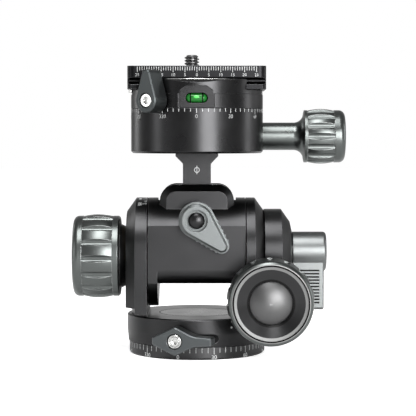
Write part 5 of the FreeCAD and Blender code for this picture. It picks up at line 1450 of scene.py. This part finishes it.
    def build(self, shop: Shop) -> None:
        """Build and dress the clamp.

        Args:
            shop: The nodes, finishes and trees.
        """
        shop.dress(BLACK_TURNED, "clamp_base", "rear_jaw")
        shop.dress(STEEL, "pan_retainer", "jaw_guide_pins")
        shop.dress(LEVER_DARK, "clamp_lever")
        screw = self.screw.build("clamp_screw", self.azimuth, self.height)
        shop.fit(screw, STEEL, "clamp_lock", "clamp_shaft")
        shop.fit(self.rim(), STEEL, "clamp")
        shop.fit(self.vial(), LIQUID, "clamp", "level_vial")
        shop.fit(self.bubble(), BUBBLE, "clamp")
        for name, side in (("level_line_left", -1.0), ("level_line_right", 1.0)):
            shop.fit(self.vial_line(name, side * self.line_place), MARK_AND_SHADOW_BLACK, "clamp")


@dataclass
class Plate:
    """Quick release plate with its scale, stop screws and camera screw.

    Attributes:
        scale: The scale on the plate's front.
        screw_x: X of the camera screw.
        head: Z where the screw's head starts and ends.
        head_radius: The head's radius.
        head_bevel: Bevel at the head's lower edge.
        neck_radius: Radius of the neck in the slot.
        thread_low: Z where the thread starts.
        end: Z of the screw's end.
        end_bevel: Width and height of the bevel at that end.
        thread: The thread.
    """

    scale: Rule = Rule("plate_scale", "plate", 122.4, 1.6, 2.3, 1.25, 3.5, -19.0, 0.1, 25)
    screw_x: float = -2.2
    head: tuple[float, float] = (114.8, 117.2)
    head_radius: float = 6.6
    head_bevel: float = 0.3
    neck_radius: float = 2.5
    thread_low: float = 123.0
    end: float = 128.1
    end_bevel: tuple[float, float] = (0.35, 0.25)
    thread: Thread = Thread(2.35, 3.175, 1.27)

    def screw(self, angle: float) -> Section:
        """Half section of the camera screw at an angle.

        Args:
            angle: The angle, in radians.

        Returns:
            The (radius, height) points from the axis to the axis.
        """
        low, high = self.head
        wide, tall = self.end_bevel
        return [(0.0, low), (self.head_radius - self.head_bevel, low),
                (self.head_radius, low + self.head_bevel), (self.head_radius, high),
                (self.neck_radius, high), (self.neck_radius, self.thread_low),
                *self.thread.wall(angle, self.thread_low, self.end - tall),
                (self.thread.root - wide, self.end), (0.0, self.end)]

    def build(self, shop: Shop) -> None:
        """Build and dress the plate.

        Args:
            shop: The nodes, finishes and trees.
        """
        shop.dress(BLACK_PLATE, "quick_release_plate")
        shop.dress(STEEL, "plate_stop_screws")
        place = Matrix.Scale(MM, 4) @ Matrix.Translation((self.screw_x, 0.0, 0.0))
        screw = turned("camera_screw_thread", self.screw, 56, place, SMOOTH)
        shop.fit(screw, SCREW_STEEL, "camera_screw", "camera_screw")
        self.scale.build(shop)


# Studio
@dataclass(frozen=True)
class SoftBox:
    """A rectangular studio lamp aimed at the head.

    Attributes:
        name: The lamp's name.
        azimuth: Degrees from the front towards the right.
        height: Degrees above the horizon.
        width: Its width, in metres.
        tall: Its height, in metres.
        level: Brightness of its face, where 1 is white.
        distance: Its distance from the head, in metres.
    """

    name: str
    azimuth: float
    height: float
    width: float
    tall: float
    level: float
    distance: float = 0.8

    def build(self, aim: Vector) -> None:
        """Hang the lamp.

        Args:
            aim: The point that it faces.
        """
        lamp = bpy.data.lights.new(self.name, "AREA")
        lamp.shape = "RECTANGLE"
        lamp.size = self.width
        lamp.size_y = self.tall
        lamp.energy = self.level * math.pi * self.width * self.tall
        holder = linked(self.name, lamp)
        lift = math.radians(self.height)
        away = outward(self.azimuth) * math.cos(lift) + upward(math.sin(lift))
        holder.location = aim + away * self.distance
        holder.rotation_euler = (-away).to_track_quat("-Z", "Y").to_euler()
        holder.visible_camera = False


@dataclass
class Studio:
    """Camera, lamps, world and floor.

    Attributes:
        camera: The camera's place.
        pitch: Degrees that it looks down.
        lens: Focal length, in millimetres.
        sensor: Width of the sensor, in millimetres.
        aim_height: Z that the lamps face.
        floor_half: Half the floor's width, in metres.
        floor_grey: The floor's colour and roughness.
        ambient: Brightness of the world for surfaces without gloss.
        high: Brightness of the world overhead, as gloss shows it.
        horizon: Sines of the heights between which the backdrop grows dim for gloss.
        flags: Azimuths of the dark flags that gloss shows, each with its brightness.
        flag_reach: Cosines of the angles from a flag's middle where it ends and where it is full.
        floor_glow: Brightness that the floor adds for the camera.
        floor_mirror: Brightness that the floor adds for gloss and see-through pieces.
        boxes: The lamps.
    """

    camera: tuple[float, float, float] = (4.75, -690.0, 92.8)
    pitch: float = 2.54
    lens: float = 138.1
    sensor: float = 36.0
    aim_height: float = 65.0
    floor_half: float = 4.0
    floor_grey: float = 0.9
    ambient: float = 0.3
    high: float = 0.3
    horizon: tuple[float, float] = (0.1, 0.5)
    flags: tuple[tuple[float, float], ...] = (
        (-22.0, 0.3), (-95.0, 0.25), (72.0, 0.35), (-150.0, 0.2), (150.0, 0.2))
    flag_reach: tuple[float, float] = (0.9, 0.985)
    floor_glow: float = 0.75
    floor_mirror: float = 0.1
    boxes: tuple[SoftBox, ...] = (
        SoftBox("key_front_right", 20.0, 8.0, 0.36, 0.42, 15.0),
        SoftBox("rim_right", 98.0, 10.0, 0.16, 0.5, 4.5),
        SoftBox("rim_left", -128.0, 10.0, 0.12, 0.5, 3.0),
        SoftBox("fill_left", -72.0, 8.0, 0.16, 0.45, 3.5),
        SoftBox("overhead", -5.0, 66.0, 0.26, 0.56, 11.5),
    )

    def build(self) -> None:
        """Set the whole studio up."""
        scene = bpy.context.scene
        scene.view_settings.view_transform = "Standard"
        lens = bpy.data.cameras.new("camera")
        lens.lens = self.lens
        lens.sensor_width = self.sensor
        lens.clip_start = 0.05
        scene.camera = linked("camera", lens)
        scene.camera.location = [value * MM for value in self.camera]
        scene.camera.rotation_euler = (math.radians(90.0 - self.pitch), 0.0, 0.0)
        for soft_box in self.boxes:
            soft_box.build(upward(self.aim_height * MM))
        self.world()
        self.floor()

    def world(self) -> None:
        """Backdrop: white for the camera, dimmer overhead and at the flags for gloss, dim for the rest."""
        world = bpy.context.scene.world = bpy.data.worlds.new("studio")
        world.use_nodes = True
        graph = Graph(world.node_tree)
        place = graph.add("ShaderNodeTexCoord").outputs["Generated"]
        towards = graph.add("ShaderNodeSeparateXYZ", Vector=place).outputs
        backdrop = graph.span(towards["Z"], *self.horizon, 1.0, self.high)
        for azimuth, level in self.flags:
            away = outward(azimuth)
            near = graph.math("ADD", graph.math("MULTIPLY", towards["X"], away.x),
                              graph.math("MULTIPLY", towards["Y"], away.y))
            backdrop = graph.math("MULTIPLY", backdrop, graph.span(near, *self.flag_reach, 1.0, level))
        graph.fill(graph.tree.nodes["Background"], Color=(1.0, 1.0, 1.0, 1.0),
                   Strength=graph.by_ray(1.0, backdrop, self.ambient))

    def floor(self) -> None:
        """Pale floor that keeps the head's shadow."""
        half, grey = self.floor_half, self.floor_grey
        corners = [(-half, -half, 0.0), (half, -half, 0.0), (half, half, 0.0), (-half, half, 0.0)]
        floor = solid("floor", corners, [(0, 1, 2, 3)])
        material, graph, shader = new_material("pale_floor")
        graph.fill(shader, Base_Color=(grey, grey, grey, 1.0), Roughness=grey,
                   Emission_Color=(1.0, 1.0, 1.0, 1.0),
                   Emission_Strength=graph.by_ray(self.floor_glow, self.floor_mirror, 0.0))
        floor.data.materials.append(material)


def main() -> None:
    """Build every class in order."""
    logging.basicConfig(level=logging.INFO, format="%(message)s")
    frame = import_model()
    shop = Shop(frame["nodes"], FinishKit(), tick_tree())
    for unit in (Base(), BaseLock(), Yoke(), TiltUnit(), RollUnit(), PanUnit(), Clamp(), Plate()):
        LOG.info("building %s", type(unit).__name__)
        unit.build(shop)
    Studio().build()


if __name__ == "__main__":
    main()
